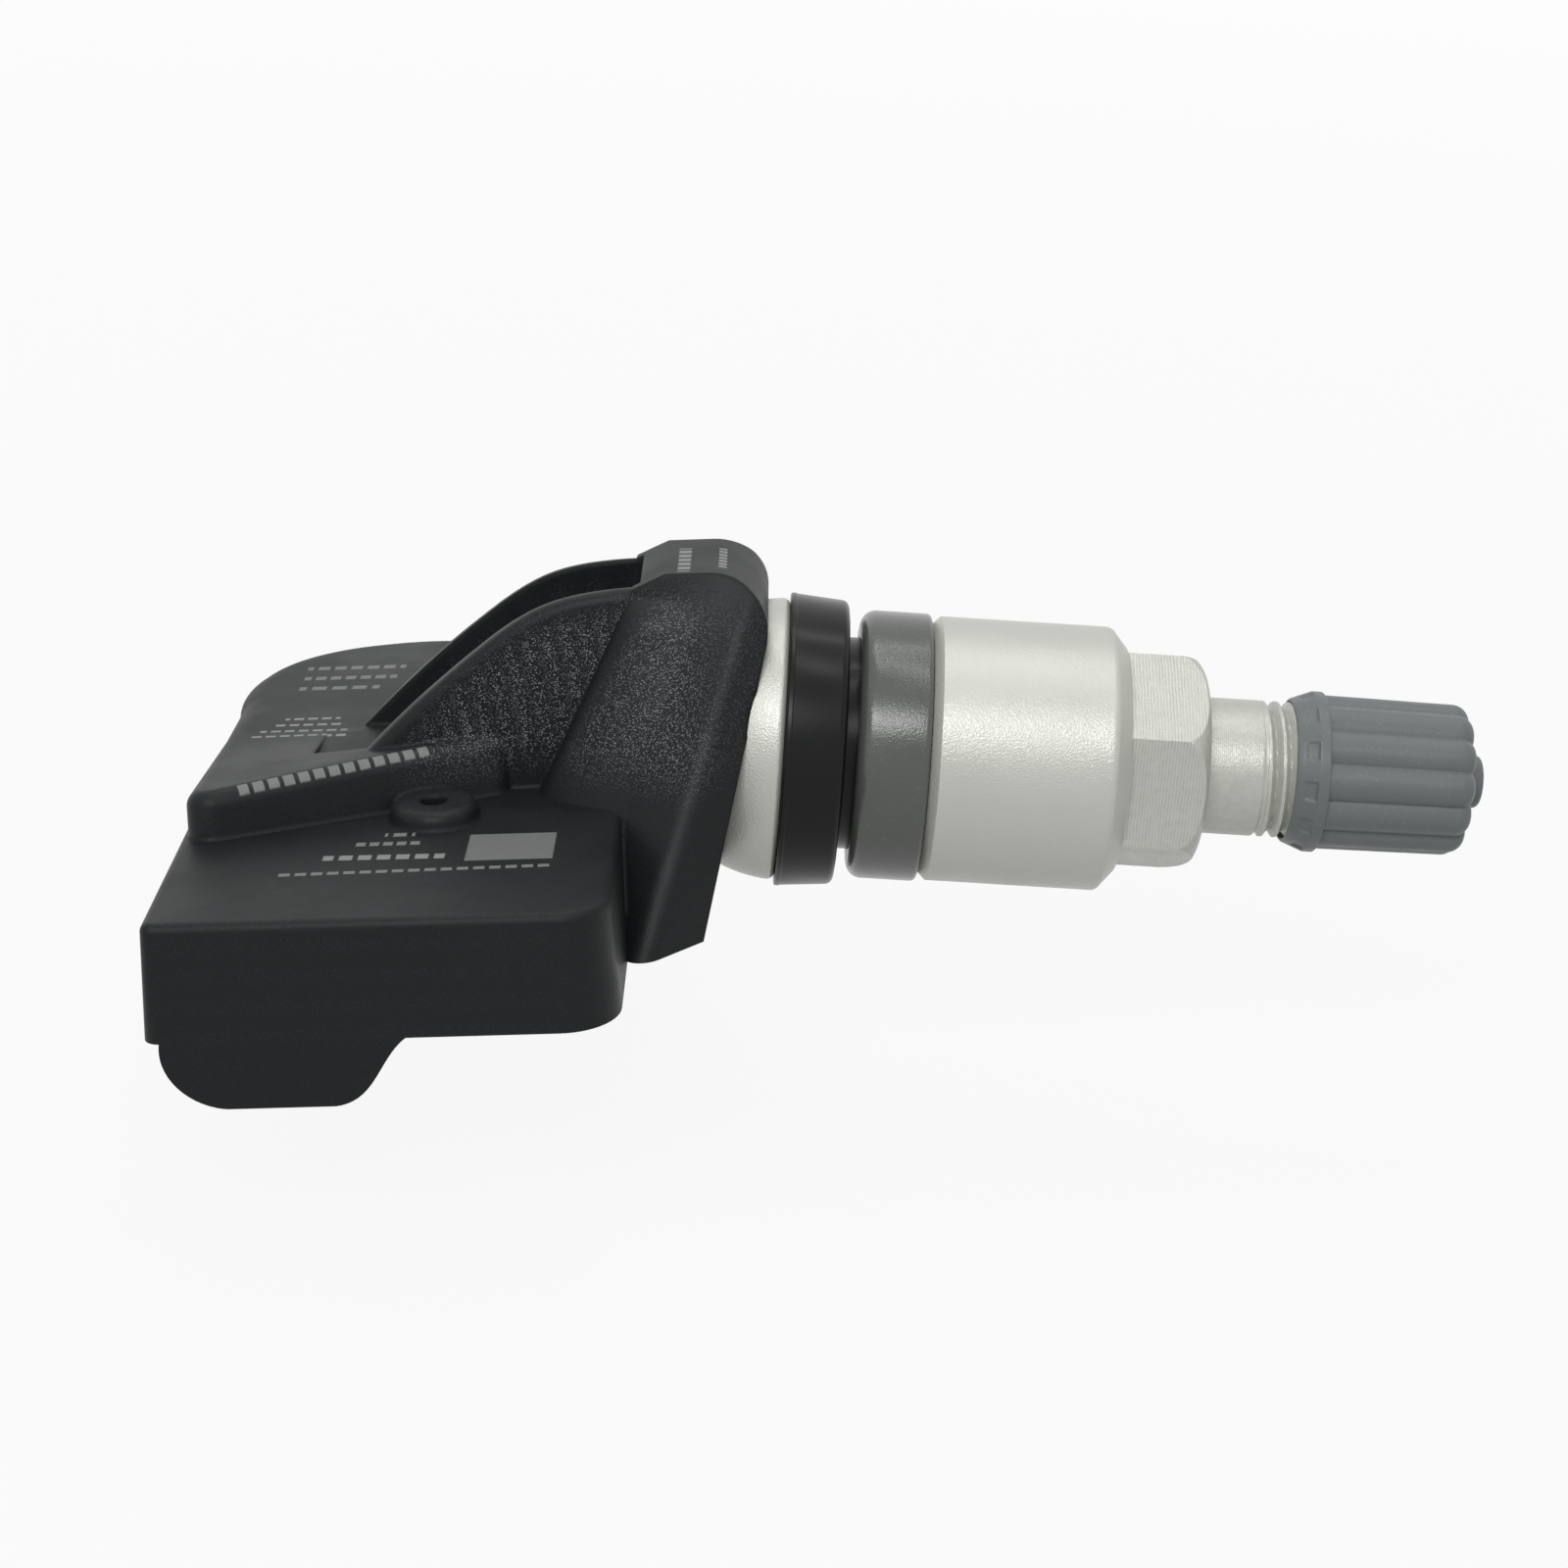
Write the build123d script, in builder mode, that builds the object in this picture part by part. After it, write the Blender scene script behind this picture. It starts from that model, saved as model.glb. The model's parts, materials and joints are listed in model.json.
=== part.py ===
import os
from math import cos, radians, sin, sqrt

from build123d import *

os.makedirs("parts", exist_ok=True)

# Frame: X runs along the valve towards its cap, Z is up, the origin is where the grommet meets the rim.

# fits
thread_gap = 0.06
slide_gap = 0.05
seat_gap = 0.08

# valve stem with its half ball
ball_x = -3.1
ball_r = 7.95
collar_right = -3.3
shank_r = 4.5
shank_end = 10.2
stem_r = 3.84
stem_tip = 33.2
stem_chamfer = 0.6
bolt_end_gap = 0.4
bore_r = 1.3
core_bore_r = 2.2
core_mouth_r = 2.7
core_bore_start = 17.0
core_cone_start = 27.0
core_cone_end = 28.6

# valve core
core_top = 32.3
core_shelf = 29.4
core_foot = 22.5
core_cup_r = 1.65
pin_r = 0.5
pin_tip = 32.95
pin_collar = 32.0
pin_collar_r = 1.4
pin_tail = 0.6
plunger_r = 1.7
plunger_length = 1.5
spring_wire = 0.15
spring_r = 1.15

# clamp bolt
bolt_r = 1.75
bolt_hole_r = 0.6
bolt_head_r = 2.5
bolt_head_height = 2.4
bolt_depth = 6.0
bolt_head_chamfer = 0.3
socket_r = 1.15
socket_lobe_r = 0.32
socket_depth = 1.5
socket_wall = 2.05
wall_r = ball_r + socket_wall
bolt_seat_gap = 0.1
bolt_seat_x = ball_x - wall_r - bolt_seat_gap
bolt_end_x = ball_x - ball_r + bolt_depth

# rim grommet
grommet_left = collar_right
grommet_proud = 0.22
grommet_taper = 0.29
grommet_left_r = ball_r + grommet_proud
grommet_right_r = grommet_left_r - grommet_taper
grommet_round = 0.9
grommet_lip = 0.3
grommet_lip_step = 0.06
neck_chamfer = 0.4
neck_r = 5.85
neck_end = 3.2

# spacer ring
ring_left = 0.72
ring_right = 4.56
ring_r = 7.55
ring_left_round = 0.95
ring_right_round = 0.3
ring_gap = 0.15
ring_step_gap = 0.25

# clamp nut
nut_left = 4.72
nut_right = 20.28
nut_r = 7.45
nut_round_end = 14.8
nut_cone = 1.15
hex_flats = 11.0
hex_dome_start = 18.75
hex_dome_r = 4.65
hex_dome_bulge = 0.3
nut_bore_end = 13.5
nut_chamfer = 0.35
nut_stem_gap = 0.1

# valve cap
cap_left = 25.2
cap_lip_r = 4.08
cap_bead_x = 26.5
cap_bead_r = 4.54
cap_ring_x = 27.0
cap_core_r = 3.95
cap_core_end = 35.0
cap_core_bevel = 0.8
cap_nub_end = 36.25
cap_nub_r = 1.5
cap_nub_round = 0.35
cap_inner_end = 33.95
rib_count = 12
rib_start = -11.0
rib_r = 1.35
rib_reach = 4.38
rib_end = 35.3
rib_end_bevel = 0.65
rib_end_r = 1.26
rib_root = 0.2
seal_thickness = 0.65
seal_seat_step = 0.3
seal_gap = 0.1

# housing, measured along its own base from a point on the valve axis
datum_x = -2.0
pitch = 5.5
half_width = 23.2
tail_x = -33.85
wing_x = -9.7
wall_draft = 3.0
wing_top = -0.88
lobe_top = -0.38
lobe_crown = 0.4
lobe_crown_y = 3.0
base_z = -7.2
lobe_corner = 9.5
wing_corner = 3.0
small_corner = 0.9
inner_corner = 0.3
wall = 1.5
can_wall = 1.8
ledge = 0.7
cover_thickness = 1.2
ceiling_z = -2.2
bay_x = -16.8
bay_half = 5.5

wing_round = 0.45
lobe_round = 1.6
plateau_round = 0.9
ridge_round = 0.6

# feet
foot_z = -10.9
foot_inner_y = 15.0
foot_tail = 0.85
foot_lead = 4.6
foot_length = 9.55
foot_slope = 3.8

# tail plateau
plateau_inset = 0.65
plateau_y = 11.8
plateau_tip_x = -16.3
plateau_tip_y = 4.9
plateau_lean = 0.18
plateau_left_z = 1.6
plateau_right_z = 2.6
plateau_corner = 1.3

# ridges and trough
ridge_left = -25.2
ridge_top_z = 10.1
ridge_right = -7.5
ridge_left_half = 4.8
ridge_right_half = 3.4
ridge_draft = 0.01
ridge_point_1 = (-22.0, 3.55)
ridge_point_2 = (-18.0, 6.85)
ridge_point_3 = (-14.0, 9.3)
ridge_point_4 = (-11.0, 9.95)
trough_left_half = 3.45
trough_right_half = 2.7
trough_floor = 0.5
pocket_z = -1.95
pocket_left = -14.8
pocket_slope = 1.4
slot_half = 2.0
slot_drop = 0.2
slot_rise = 4.1
slot_lead = 1.9
slot_length = 9.0

# head
head_top = 10.95
head_left_top = -8.7
head_right_top = -0.9
head_half_top = 3.4
head_wide_top = -2.2
crown_round = 3.0
cheek_round = 1.2
brow_drop = 0.9
brow_length = 1.4
head_left_base = -17.7
head_left_half = 4.95
head_wide_x = -9.0
head_wide_half = 15.4
head_right_base = -5.7
head_right_half = 12.1
head_base = -7.05

# air port
port_x = -20.1
port_y = -8.3
port_r = 2.55
port_draft = 10.0
port_height = 0.95
port_round = 0.6
port_hole_r = 0.75

# board
board_bottom = -5.55
board_thickness = 0.8
board_gap = 0.35
board_cell_gap = 0.9
post_r = 0.8
post_inset = 4.6

# cell and its tabs
cell_r = 8.0
cell_height = 3.2
cell_gap = 1.3
cell_step = 0.4
cell_lip = 0.9
cell_round = 0.3
tab_thickness = 0.15
tab_width = 3.0
tab_offset = 3.0
tab_inset = 3.0

# parts on the board
sensor_side = 5.0
sensor_height = 1.4
sensor_hole_r = 0.4
sensor_hole_depth = 0.6
seal_r = 2.0
seal_hole_r = 1.1
chip_side = 4.0
chip_height = 0.9
chip_inset_x = 6.6
chip_inset_y = 9.7
crystal_length = 3.2
crystal_width = 1.6
crystal_height = 0.8
crystal_shift = 5.0
coil_inset = 3.9
coil_length = 9.0
coil_side = 1.6
coil_height = 1.4
coil_lift = 0.35
coil_end_length = 1.2
coil_end_width = 2.4
winding_length = 6.4
winding_build = 0.3
aerial_inset = 9.1
aerial_gap = 1.9
aerial_length = 11.0
aerial_height = 2.0
aerial_strip = 0.6
aerial_width = 0.4
capacitor_length = 1.2
capacitor_width = 0.7
capacitor_height = 0.6
capacitor_gap = 2.0

body = Plane(
    origin=(datum_x, 0, 0),
    x_dir=(cos(radians(pitch)), 0, sin(radians(pitch))),
    z_dir=(-sin(radians(pitch)), 0, cos(radians(pitch))),
)


def level(height):
    return body.offset(height)


def side(y):
    return Plane(origin=body.from_local_coords((0, y, 0)), x_dir=body.x_dir, z_dir=(0, -1, 0))


def across(x):
    return Plane(origin=body.from_local_coords((x, 0, 0)), x_dir=(0, 1, 0), z_dir=body.x_dir)


def save(piece, name):
    piece.label = name
    export_step(piece, "parts/" + name + ".step")


# valve stem
collar_r = sqrt(ball_r**2 - (collar_right - ball_x) ** 2)
dome_hole_x = ball_x - sqrt(ball_r**2 - (bolt_r + thread_gap) ** 2)
with BuildPart() as valve_stem:
    with BuildSketch(Plane.XZ):
        with BuildLine():
            ThreePointArc(
                (dome_hole_x, bolt_r + thread_gap),
                (ball_x + ball_r * cos(radians(135)), ball_r * sin(radians(135))),
                (collar_right, collar_r),
            )
            Polyline(
                (collar_right, collar_r),
                (collar_right, shank_r),
                (shank_end - 0.5, shank_r),
                (shank_end, stem_r),
                (stem_tip - stem_chamfer, stem_r),
                (stem_tip, stem_r - stem_chamfer),
                (stem_tip, core_mouth_r),
                (core_cone_end, core_mouth_r),
                (core_cone_start, core_bore_r),
                (core_bore_start, core_bore_r),
                (core_bore_start, bore_r),
                (bolt_end_x + bolt_end_gap, bore_r),
                (bolt_end_x + bolt_end_gap, bolt_r + thread_gap),
                (dome_hole_x, bolt_r + thread_gap),
            )
        make_face()
    revolve(axis=Axis.X)
save(valve_stem.part, "valve_stem")

# clamp bolt with a six-lobe socket and an air hole
with BuildPart() as clamp_bolt:
    with BuildSketch(Plane.YZ.offset(bolt_seat_x - bolt_head_height)):
        Circle(bolt_head_r)
    extrude(amount=bolt_head_height)
    head_edge = clamp_bolt.edges().sort_by(Axis.X)[0]
    chamfer(head_edge, bolt_head_chamfer)
    with BuildSketch(Plane.YZ.offset(bolt_seat_x)):
        Circle(bolt_r)
    extrude(amount=bolt_end_x - bolt_seat_x)
    with BuildSketch(Plane.YZ.offset(bolt_seat_x - bolt_head_height)):
        Circle(socket_r)
        with PolarLocations(socket_r, 6):
            Circle(socket_lobe_r)
    extrude(amount=socket_depth, mode=Mode.SUBTRACT)
    with BuildSketch(Plane.YZ.offset(bolt_seat_x - bolt_head_height)):
        Circle(bolt_hole_r)
    extrude(amount=bolt_end_x - bolt_seat_x + bolt_head_height, mode=Mode.SUBTRACT)
save(clamp_bolt.part, "clamp_bolt")

# rim grommet
with BuildPart() as rim_grommet:
    with BuildSketch(Plane.XZ):
        with BuildLine():
            Polyline(
                (grommet_left, shank_r + slide_gap),
                (grommet_left, grommet_left_r),
                (grommet_left + grommet_lip, grommet_left_r),
                (grommet_left + grommet_lip + grommet_lip_step, grommet_left_r - grommet_lip_step),
                (0, grommet_right_r),
                (0, neck_r),
                (neck_end - neck_chamfer, neck_r),
                (neck_end, neck_r - neck_chamfer),
                (neck_end, shank_r + slide_gap),
                close=True,
            )
        make_face()
    revolve(axis=Axis.X)
    shoulder_edge = rim_grommet.edges().filter_by(GeomType.CIRCLE).filter_by(
        lambda e: abs(e.radius - grommet_right_r) < 0.01
    )
    fillet(shoulder_edge, grommet_round)
save(rim_grommet.part, "rim_grommet")

# spacer ring
ring_step_x = neck_end + ring_step_gap
with BuildPart() as spacer_ring:
    with BuildSketch(Plane.XZ):
        with BuildLine():
            Polyline(
                (ring_left, neck_r + ring_gap),
                (ring_left, ring_r),
                (ring_right, ring_r),
                (ring_right, shank_r + ring_gap),
                (ring_step_x, shank_r + ring_gap),
                (ring_step_x, neck_r + ring_gap),
                close=True,
            )
        make_face()
    revolve(axis=Axis.X)
    ring_edges = spacer_ring.edges().filter_by(GeomType.CIRCLE).filter_by(
        lambda e: abs(e.radius - ring_r) < 0.01
    ).sort_by(Axis.X)
    fillet(ring_edges[-1], ring_right_round)
    fillet(ring_edges[0], ring_left_round)
save(spacer_ring.part, "spacer_ring")

# clamp nut: round body, cone and six-sided end with a domed tip
hex_r = hex_flats / 2 / cos(radians(30))
with BuildPart() as clamp_nut:
    with BuildSketch(Plane.XZ):
        with BuildLine():
            Polyline(
                (nut_left, 0),
                (nut_left, nut_r - nut_chamfer),
                (nut_left + nut_chamfer, nut_r),
                (nut_round_end, nut_r),
                (nut_round_end + nut_cone, nut_r - nut_cone),
                (nut_round_end + nut_cone, 0),
                close=True,
            )
        make_face()
    revolve(axis=Axis.X)
    with BuildSketch(Plane.YZ.offset(nut_round_end)):
        RegularPolygon(hex_r, 6, rotation=30)
    extrude(amount=nut_right - nut_round_end)
    with BuildSketch(Plane.XZ):
        with BuildLine():
            ThreePointArc(
                (hex_dome_start, hex_r),
                ((hex_dome_start + nut_right) / 2 + hex_dome_bulge, (hex_r + hex_dome_r) / 2 + hex_dome_bulge),
                (nut_right, hex_dome_r),
            )
            Polyline(
                (nut_right, hex_dome_r),
                (nut_right + 1, hex_dome_r),
                (nut_right + 1, hex_r + 1),
                (hex_dome_start, hex_r + 1),
                (hex_dome_start, hex_r),
            )
        make_face()
    revolve(axis=Axis.X, mode=Mode.SUBTRACT)
    with BuildSketch(Plane.YZ.offset(nut_left)):
        Circle(shank_r + thread_gap)
    extrude(amount=nut_bore_end - nut_left, mode=Mode.SUBTRACT)
    with BuildSketch(Plane.YZ.offset(nut_left)):
        Circle(stem_r + nut_stem_gap)
    extrude(amount=nut_right - nut_left, mode=Mode.SUBTRACT)
save(clamp_nut.part, "clamp_nut")

# one finger rib of the valve cap
rib_y = rib_r - rib_reach
with BuildPart() as cap_rib:
    with BuildSketch(Plane.XY):
        with BuildLine():
            Polyline(
                (cap_ring_x - rib_root, rib_y),
                (cap_ring_x - rib_root, -rib_reach),
                (rib_end - rib_end_bevel, rib_y - rib_end_r),
                (rib_end, rib_y - rib_end_r + rib_end_bevel),
                (rib_end, rib_y),
                close=True,
            )
        make_face()
    revolve(axis=Axis((0, rib_y, 0), (1, 0, 0)))

# valve cap: flared collar, bead, a ring of finger ribs and an end nub
cap_thread_end = cap_inner_end - seal_thickness - seal_seat_step
with BuildPart() as valve_cap:
    with BuildSketch(Plane.XZ):
        with BuildLine():
            Polyline(
                (cap_left, stem_r + thread_gap),
                (cap_left, cap_lip_r),
                (cap_bead_x, cap_bead_r),
                (cap_ring_x, cap_bead_r),
                (cap_ring_x, cap_core_r),
                (cap_core_end - cap_core_bevel, cap_core_r),
                (cap_core_end, cap_core_r - cap_core_bevel),
                (cap_core_end, cap_nub_r),
                (cap_nub_end, cap_nub_r),
                (cap_nub_end, 0),
                (cap_inner_end, 0),
                (cap_inner_end, stem_r - seal_seat_step),
                (cap_thread_end, stem_r + thread_gap),
                close=True,
            )
        make_face()
    revolve(axis=Axis.X)
    fillet(valve_cap.edges().sort_by(Axis.X)[-1], cap_nub_round)
    for turn in range(rib_count):
        add(cap_rib.part.rotate(Axis.X, rib_start + turn * 360 / rib_count))
    with BuildSketch(Plane.YZ.offset(cap_left)):
        Circle(stem_r + thread_gap)
    extrude(amount=cap_thread_end - cap_left, mode=Mode.SUBTRACT)
    with BuildSketch(Plane.YZ.offset(cap_left)):
        Circle(stem_r - seal_seat_step)
    extrude(amount=cap_inner_end - cap_left, mode=Mode.SUBTRACT)
save(valve_cap.part, "valve_cap")

with BuildPart() as cap_seal:
    with BuildSketch(Plane.YZ.offset(cap_inner_end - seal_thickness)):
        Circle(stem_r - seal_seat_step - seal_gap)
    extrude(amount=seal_thickness)
save(cap_seal.part, "cap_seal")

# valve core
with BuildPart() as core_body:
    with BuildSketch(Plane.XZ):
        with BuildLine():
            Polyline(
                (core_foot, pin_r + 0.25),
                (core_foot, core_bore_r - 0.35),
                (core_cone_start - 0.6, core_bore_r - 0.35),
                (core_cone_start - 0.6, core_bore_r - 0.75),
                (core_cone_end + 0.4, core_bore_r - 0.75),
                (core_cone_end + 0.4, core_mouth_r - slide_gap),
                (core_top, core_mouth_r - slide_gap),
                (core_top, core_cup_r),
                (core_shelf, core_cup_r),
                (core_shelf, pin_r + 0.25),
                close=True,
            )
        make_face()
    revolve(axis=Axis.X)
save(core_body.part, "core_body")

with BuildPart() as core_gasket:
    with BuildSketch(Plane.XZ):
        with BuildLine():
            Polyline(
                (core_cone_start - 0.1, core_bore_r - 0.7),
                (core_cone_start - 0.1, core_bore_r - 0.09),
                (core_cone_end - 0.1, core_mouth_r - 0.09),
                (core_cone_end + 0.3, core_mouth_r - 0.09),
                (core_cone_end + 0.3, core_bore_r - 0.7),
                close=True,
            )
        make_face()
    revolve(axis=Axis.X)
save(core_gasket.part, "core_gasket")

plunger_foot = core_foot - plunger_length
with BuildPart() as core_pin:
    with BuildSketch(Plane.XZ):
        with BuildLine():
            Polyline(
                (plunger_foot - pin_tail, 0),
                (plunger_foot - pin_tail, pin_r),
                (pin_collar, pin_r),
                (pin_collar, pin_collar_r),
                (pin_collar + 0.3, pin_collar_r),
                (pin_collar + 0.3, pin_r + 0.15),
                (pin_tip, pin_r + 0.15),
                (pin_tip, 0),
                close=True,
            )
        make_face()
    revolve(axis=Axis.X)
save(core_pin.part, "core_pin")

with BuildPart() as core_plunger:
    with BuildSketch(Plane.XZ):
        with BuildLine():
            Polyline(
                (plunger_foot, pin_r),
                (plunger_foot, plunger_r - 0.6),
                (plunger_foot + 0.5, plunger_r),
                (core_foot - slide_gap, plunger_r),
                (core_foot - slide_gap, pin_r),
                close=True,
            )
        make_face()
    revolve(axis=Axis.X)
save(core_plunger.part, "core_plunger")

spring_length = pin_collar - core_shelf - 2 * spring_wire - 0.04
with BuildPart() as core_spring:
    with BuildLine():
        coil = Helix(
            pitch=spring_length / 4,
            height=spring_length,
            radius=spring_r,
            center=(core_shelf + spring_wire + 0.02, 0, 0),
            direction=(1, 0, 0),
        )
    with BuildSketch(Plane(origin=coil @ 0, z_dir=coil % 0)):
        RegularPolygon(spring_wire, 6)
    sweep(is_frenet=True)
save(core_spring.part, "core_spring")


def wing_outline(inset, tail_corner):
    left = tail_x + inset
    right = wing_x - inset
    reach = half_width - inset
    with BuildSketch() as outline:
        with BuildLine():
            Polyline((left, -reach), (right, -reach), (right, reach), (left, reach), close=True)
        make_face()
        fillet(outline.vertices().sort_by_distance((left, -reach))[0], tail_corner)
        fillet(outline.vertices().sort_by_distance((right, -reach))[0], wing_corner - inset)
        fillet(outline.vertices().sort_by_distance((right, reach))[0], wing_corner - inset)
        fillet(outline.vertices().sort_by_distance((left, reach))[0], lobe_corner - inset)
    return outline.sketch


def height(shape):
    return body.to_local_coords(shape.center()).Z


def along(shape):
    return body.to_local_coords(shape.center()).X


# drafted outline of the whole body
with BuildPart() as outline_block:
    with BuildSketch(level(base_z)):
        add(wing_outline(0, small_corner))
    extrude(amount=lobe_crown - base_z + 0.5, taper=wall_draft)

# near wing
with BuildPart() as wing:
    with BuildSketch(across(tail_x)):
        with BuildLine():
            Polyline(
                (-half_width, base_z),
                (lobe_crown_y, base_z),
                (lobe_crown_y, wing_top),
                (-half_width, wing_top),
                close=True,
            )
        make_face()
    extrude(amount=wing_x - tail_x)
    add(outline_block.part, mode=Mode.INTERSECT)
    near_top = wing.faces().sort_by(height)[-1]
    fillet(near_top.edges().filter_by(lambda e: e.center().Y < lobe_crown_y - 0.5), wing_round)

# far lobe over the battery
with BuildPart() as lobe:
    with BuildSketch(across(tail_x)):
        with BuildLine():
            Polyline(
                (lobe_crown_y, base_z),
                (half_width, base_z),
                (half_width, lobe_top),
                (lobe_crown_y, lobe_crown),
                close=True,
            )
        make_face()
    extrude(amount=wing_x - tail_x)
    add(outline_block.part, mode=Mode.INTERSECT)
    lobe_face = lobe.faces().sort_by(height)[-1]
    fillet(lobe_face.edges().filter_by(lambda e: e.center().Y > lobe_crown_y + 0.5), lobe_round)

# round wall about the battery, standing a little proud of the tail
cell_x = tail_x + wall + cell_gap + cell_r
cell_y = half_width - wall - cell_gap - cell_r
lobe_fall = (lobe_crown - lobe_top) / (half_width - lobe_crown_y)
with BuildPart() as can:
    with BuildSketch(level(base_z)):
        with Locations((cell_x, cell_y)):
            Circle(cell_r + cell_gap + can_wall)
    extrude(amount=lobe_crown - base_z + 0.5, taper=wall_draft)
    with BuildSketch(across(cell_x)):
        with BuildLine():
            Polyline(
                (cell_y - half_width, base_z),
                (cell_y + half_width, base_z),
                (cell_y + half_width, lobe_crown + lobe_fall * (lobe_crown_y - cell_y - half_width)),
                (cell_y - half_width, lobe_crown + lobe_fall * (lobe_crown_y - cell_y + half_width)),
                close=True,
            )
        make_face()
    extrude(amount=half_width, both=True, mode=Mode.INTERSECT)
    fillet(can.faces().sort_by(height)[-1].edges(), lobe_round)

# tail plateau: a leaning near wall, a top that falls to the lobe
plateau_low = wing_top - 0.3
plateau_tail = tail_x + plateau_inset
with BuildPart() as plateau:
    for place, reach, crest in (
        (plateau_tail, plateau_y, plateau_left_z),
        (plateau_tip_x, plateau_tip_y, plateau_right_z),
    ):
        with BuildSketch(across(place)):
            with BuildLine():
                Polyline(
                    (-reach, plateau_low),
                    (lobe_crown_y, plateau_low),
                    (lobe_crown_y, lobe_crown),
                    (plateau_lean * (crest - plateau_low) - reach, crest),
                    close=True,
                )
            make_face()
    loft(ruled=True)
    near_wall = plateau.faces().sort_by(Axis.Y)[0]
    fillet(near_wall.edges().filter_by(lambda e: e.length < plateau_y / 2), plateau_corner)
    plateau_top = plateau.faces().sort_by(height)[-1]
    fillet(plateau_top.edges().filter_by(lambda e: e.center().Y < lobe_crown_y - 0.1), plateau_round)

# wedge that the ridges are cut from, wide at the tail and with drafted sides
spine_low = base_z + 3
spine_flare = ridge_draft * (head_top - spine_low)
with BuildPart() as wedge:
    for place, half in ((ridge_left, ridge_left_half), (ridge_right, ridge_right_half)):
        with BuildSketch(across(place)):
            with BuildLine():
                Polyline(
                    (-half - spine_flare, spine_low),
                    (half + spine_flare, spine_low),
                    (half, head_top),
                    (-half, head_top),
                    close=True,
                )
            make_face()
    loft(ruled=True)

# two ridges as one tapered spine
with BuildPart() as spine:
    with BuildSketch(side(0)):
        with BuildLine():
            Spline(
                (ridge_left, trough_floor),
                ridge_point_1,
                ridge_point_2,
                ridge_point_3,
                ridge_point_4,
                (ridge_right, ridge_top_z),
            )
            Polyline(
                (ridge_right, ridge_top_z),
                (ridge_right, spine_low),
                (ridge_left, spine_low),
                (ridge_left, trough_floor),
            )
        make_face()
    extrude(amount=half_width / 2, both=True)
    add(wedge.part, mode=Mode.INTERSECT)
    ridge_edges = spine.edges().filter_by(
        lambda e: height(e) > trough_floor and abs(e.center().Y) > slot_half and e.length > -ridge_right
    )
    fillet(ridge_edges, ridge_round)

# head as a straight-sided loft
with BuildPart() as head:
    with BuildSketch(level(head_base)):
        with BuildLine():
            Polyline(
                (head_left_base, -head_left_half),
                (head_wide_x, -head_wide_half),
                (head_right_base, -head_right_half),
                (head_right_base, head_right_half),
                (head_wide_x, head_wide_half),
                (head_left_base, head_left_half),
                close=True,
            )
        make_face()
    with BuildSketch(level(head_top)):
        with BuildLine():
            Polyline(
                (head_left_top, -head_half_top),
                (head_wide_top, -head_half_top - 0.1),
                (head_right_top, -head_half_top + 0.1),
                (head_right_top, head_half_top - 0.1),
                (head_wide_top, head_half_top + 0.1),
                (head_left_top, head_half_top),
                close=True,
            )
        make_face()
    loft(ruled=True)
    head_upper = head.faces().sort_by(height)[-1]
    brow_edge = head_upper.edges().sort_by(along)[0]
    chamfer(brow_edge, brow_drop, brow_length)
    cheek_edges = head.edges().filter_by(lambda e: e.length > head_top).filter_by(
        lambda e: abs(abs(e.center().Y) - (head_wide_half + head_half_top) / 2) < 0.6
    )
    fillet(cheek_edges, cheek_round)
    head_upper = head.faces().sort_by(height)[-1]
    fillet(head_upper.edges().sort_by(along)[-1], crown_round)

# rounded boss of the air port
port_low = wing_top - 0.5
with BuildPart() as port:
    with BuildSketch(level(port_low)):
        with Locations((port_x, port_y)):
            Circle(port_r)
    extrude(amount=wing_top + port_height - port_low, taper=port_draft)
    fillet(port.edges().sort_by(height)[-1], port_round)

# trough for the bolt key, closed by a round end wall and narrowing towards it
ball = body.to_local_coords(Vector(ball_x, 0, 0))
arc_low_x = ball.X - sqrt(wall_r**2 - (pocket_z - ball.Z) ** 2)
arc_high_z = ball.Z + sqrt(wall_r**2 - (head_left_top - ball.X) ** 2)
with BuildPart() as trough:
    with BuildSketch(side(0)):
        with BuildLine():
            ThreePointArc(
                (arc_low_x, pocket_z),
                (ball.X - wall_r, ball.Z),
                (head_left_top, arc_high_z),
            )
            Polyline(
                (head_left_top, arc_high_z),
                (head_left_top, head_top + 2),
                (ridge_left - 2, head_top + 2),
                (ridge_left - 2, trough_floor),
                (pocket_left - pocket_slope, trough_floor),
                (pocket_left, pocket_z),
                (arc_low_x, pocket_z),
            )
        make_face()
    extrude(amount=half_width / 2, both=True)
    with BuildSketch(level(pocket_z)):
        with BuildLine():
            Polyline(
                (ridge_left - 2, -trough_left_half),
                (head_left_top, -trough_right_half),
                (head_left_top, trough_right_half),
                (ridge_left - 2, trough_left_half),
                close=True,
            )
        make_face()
    extrude(amount=head_top + 2 - pocket_z, mode=Mode.INTERSECT)

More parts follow.
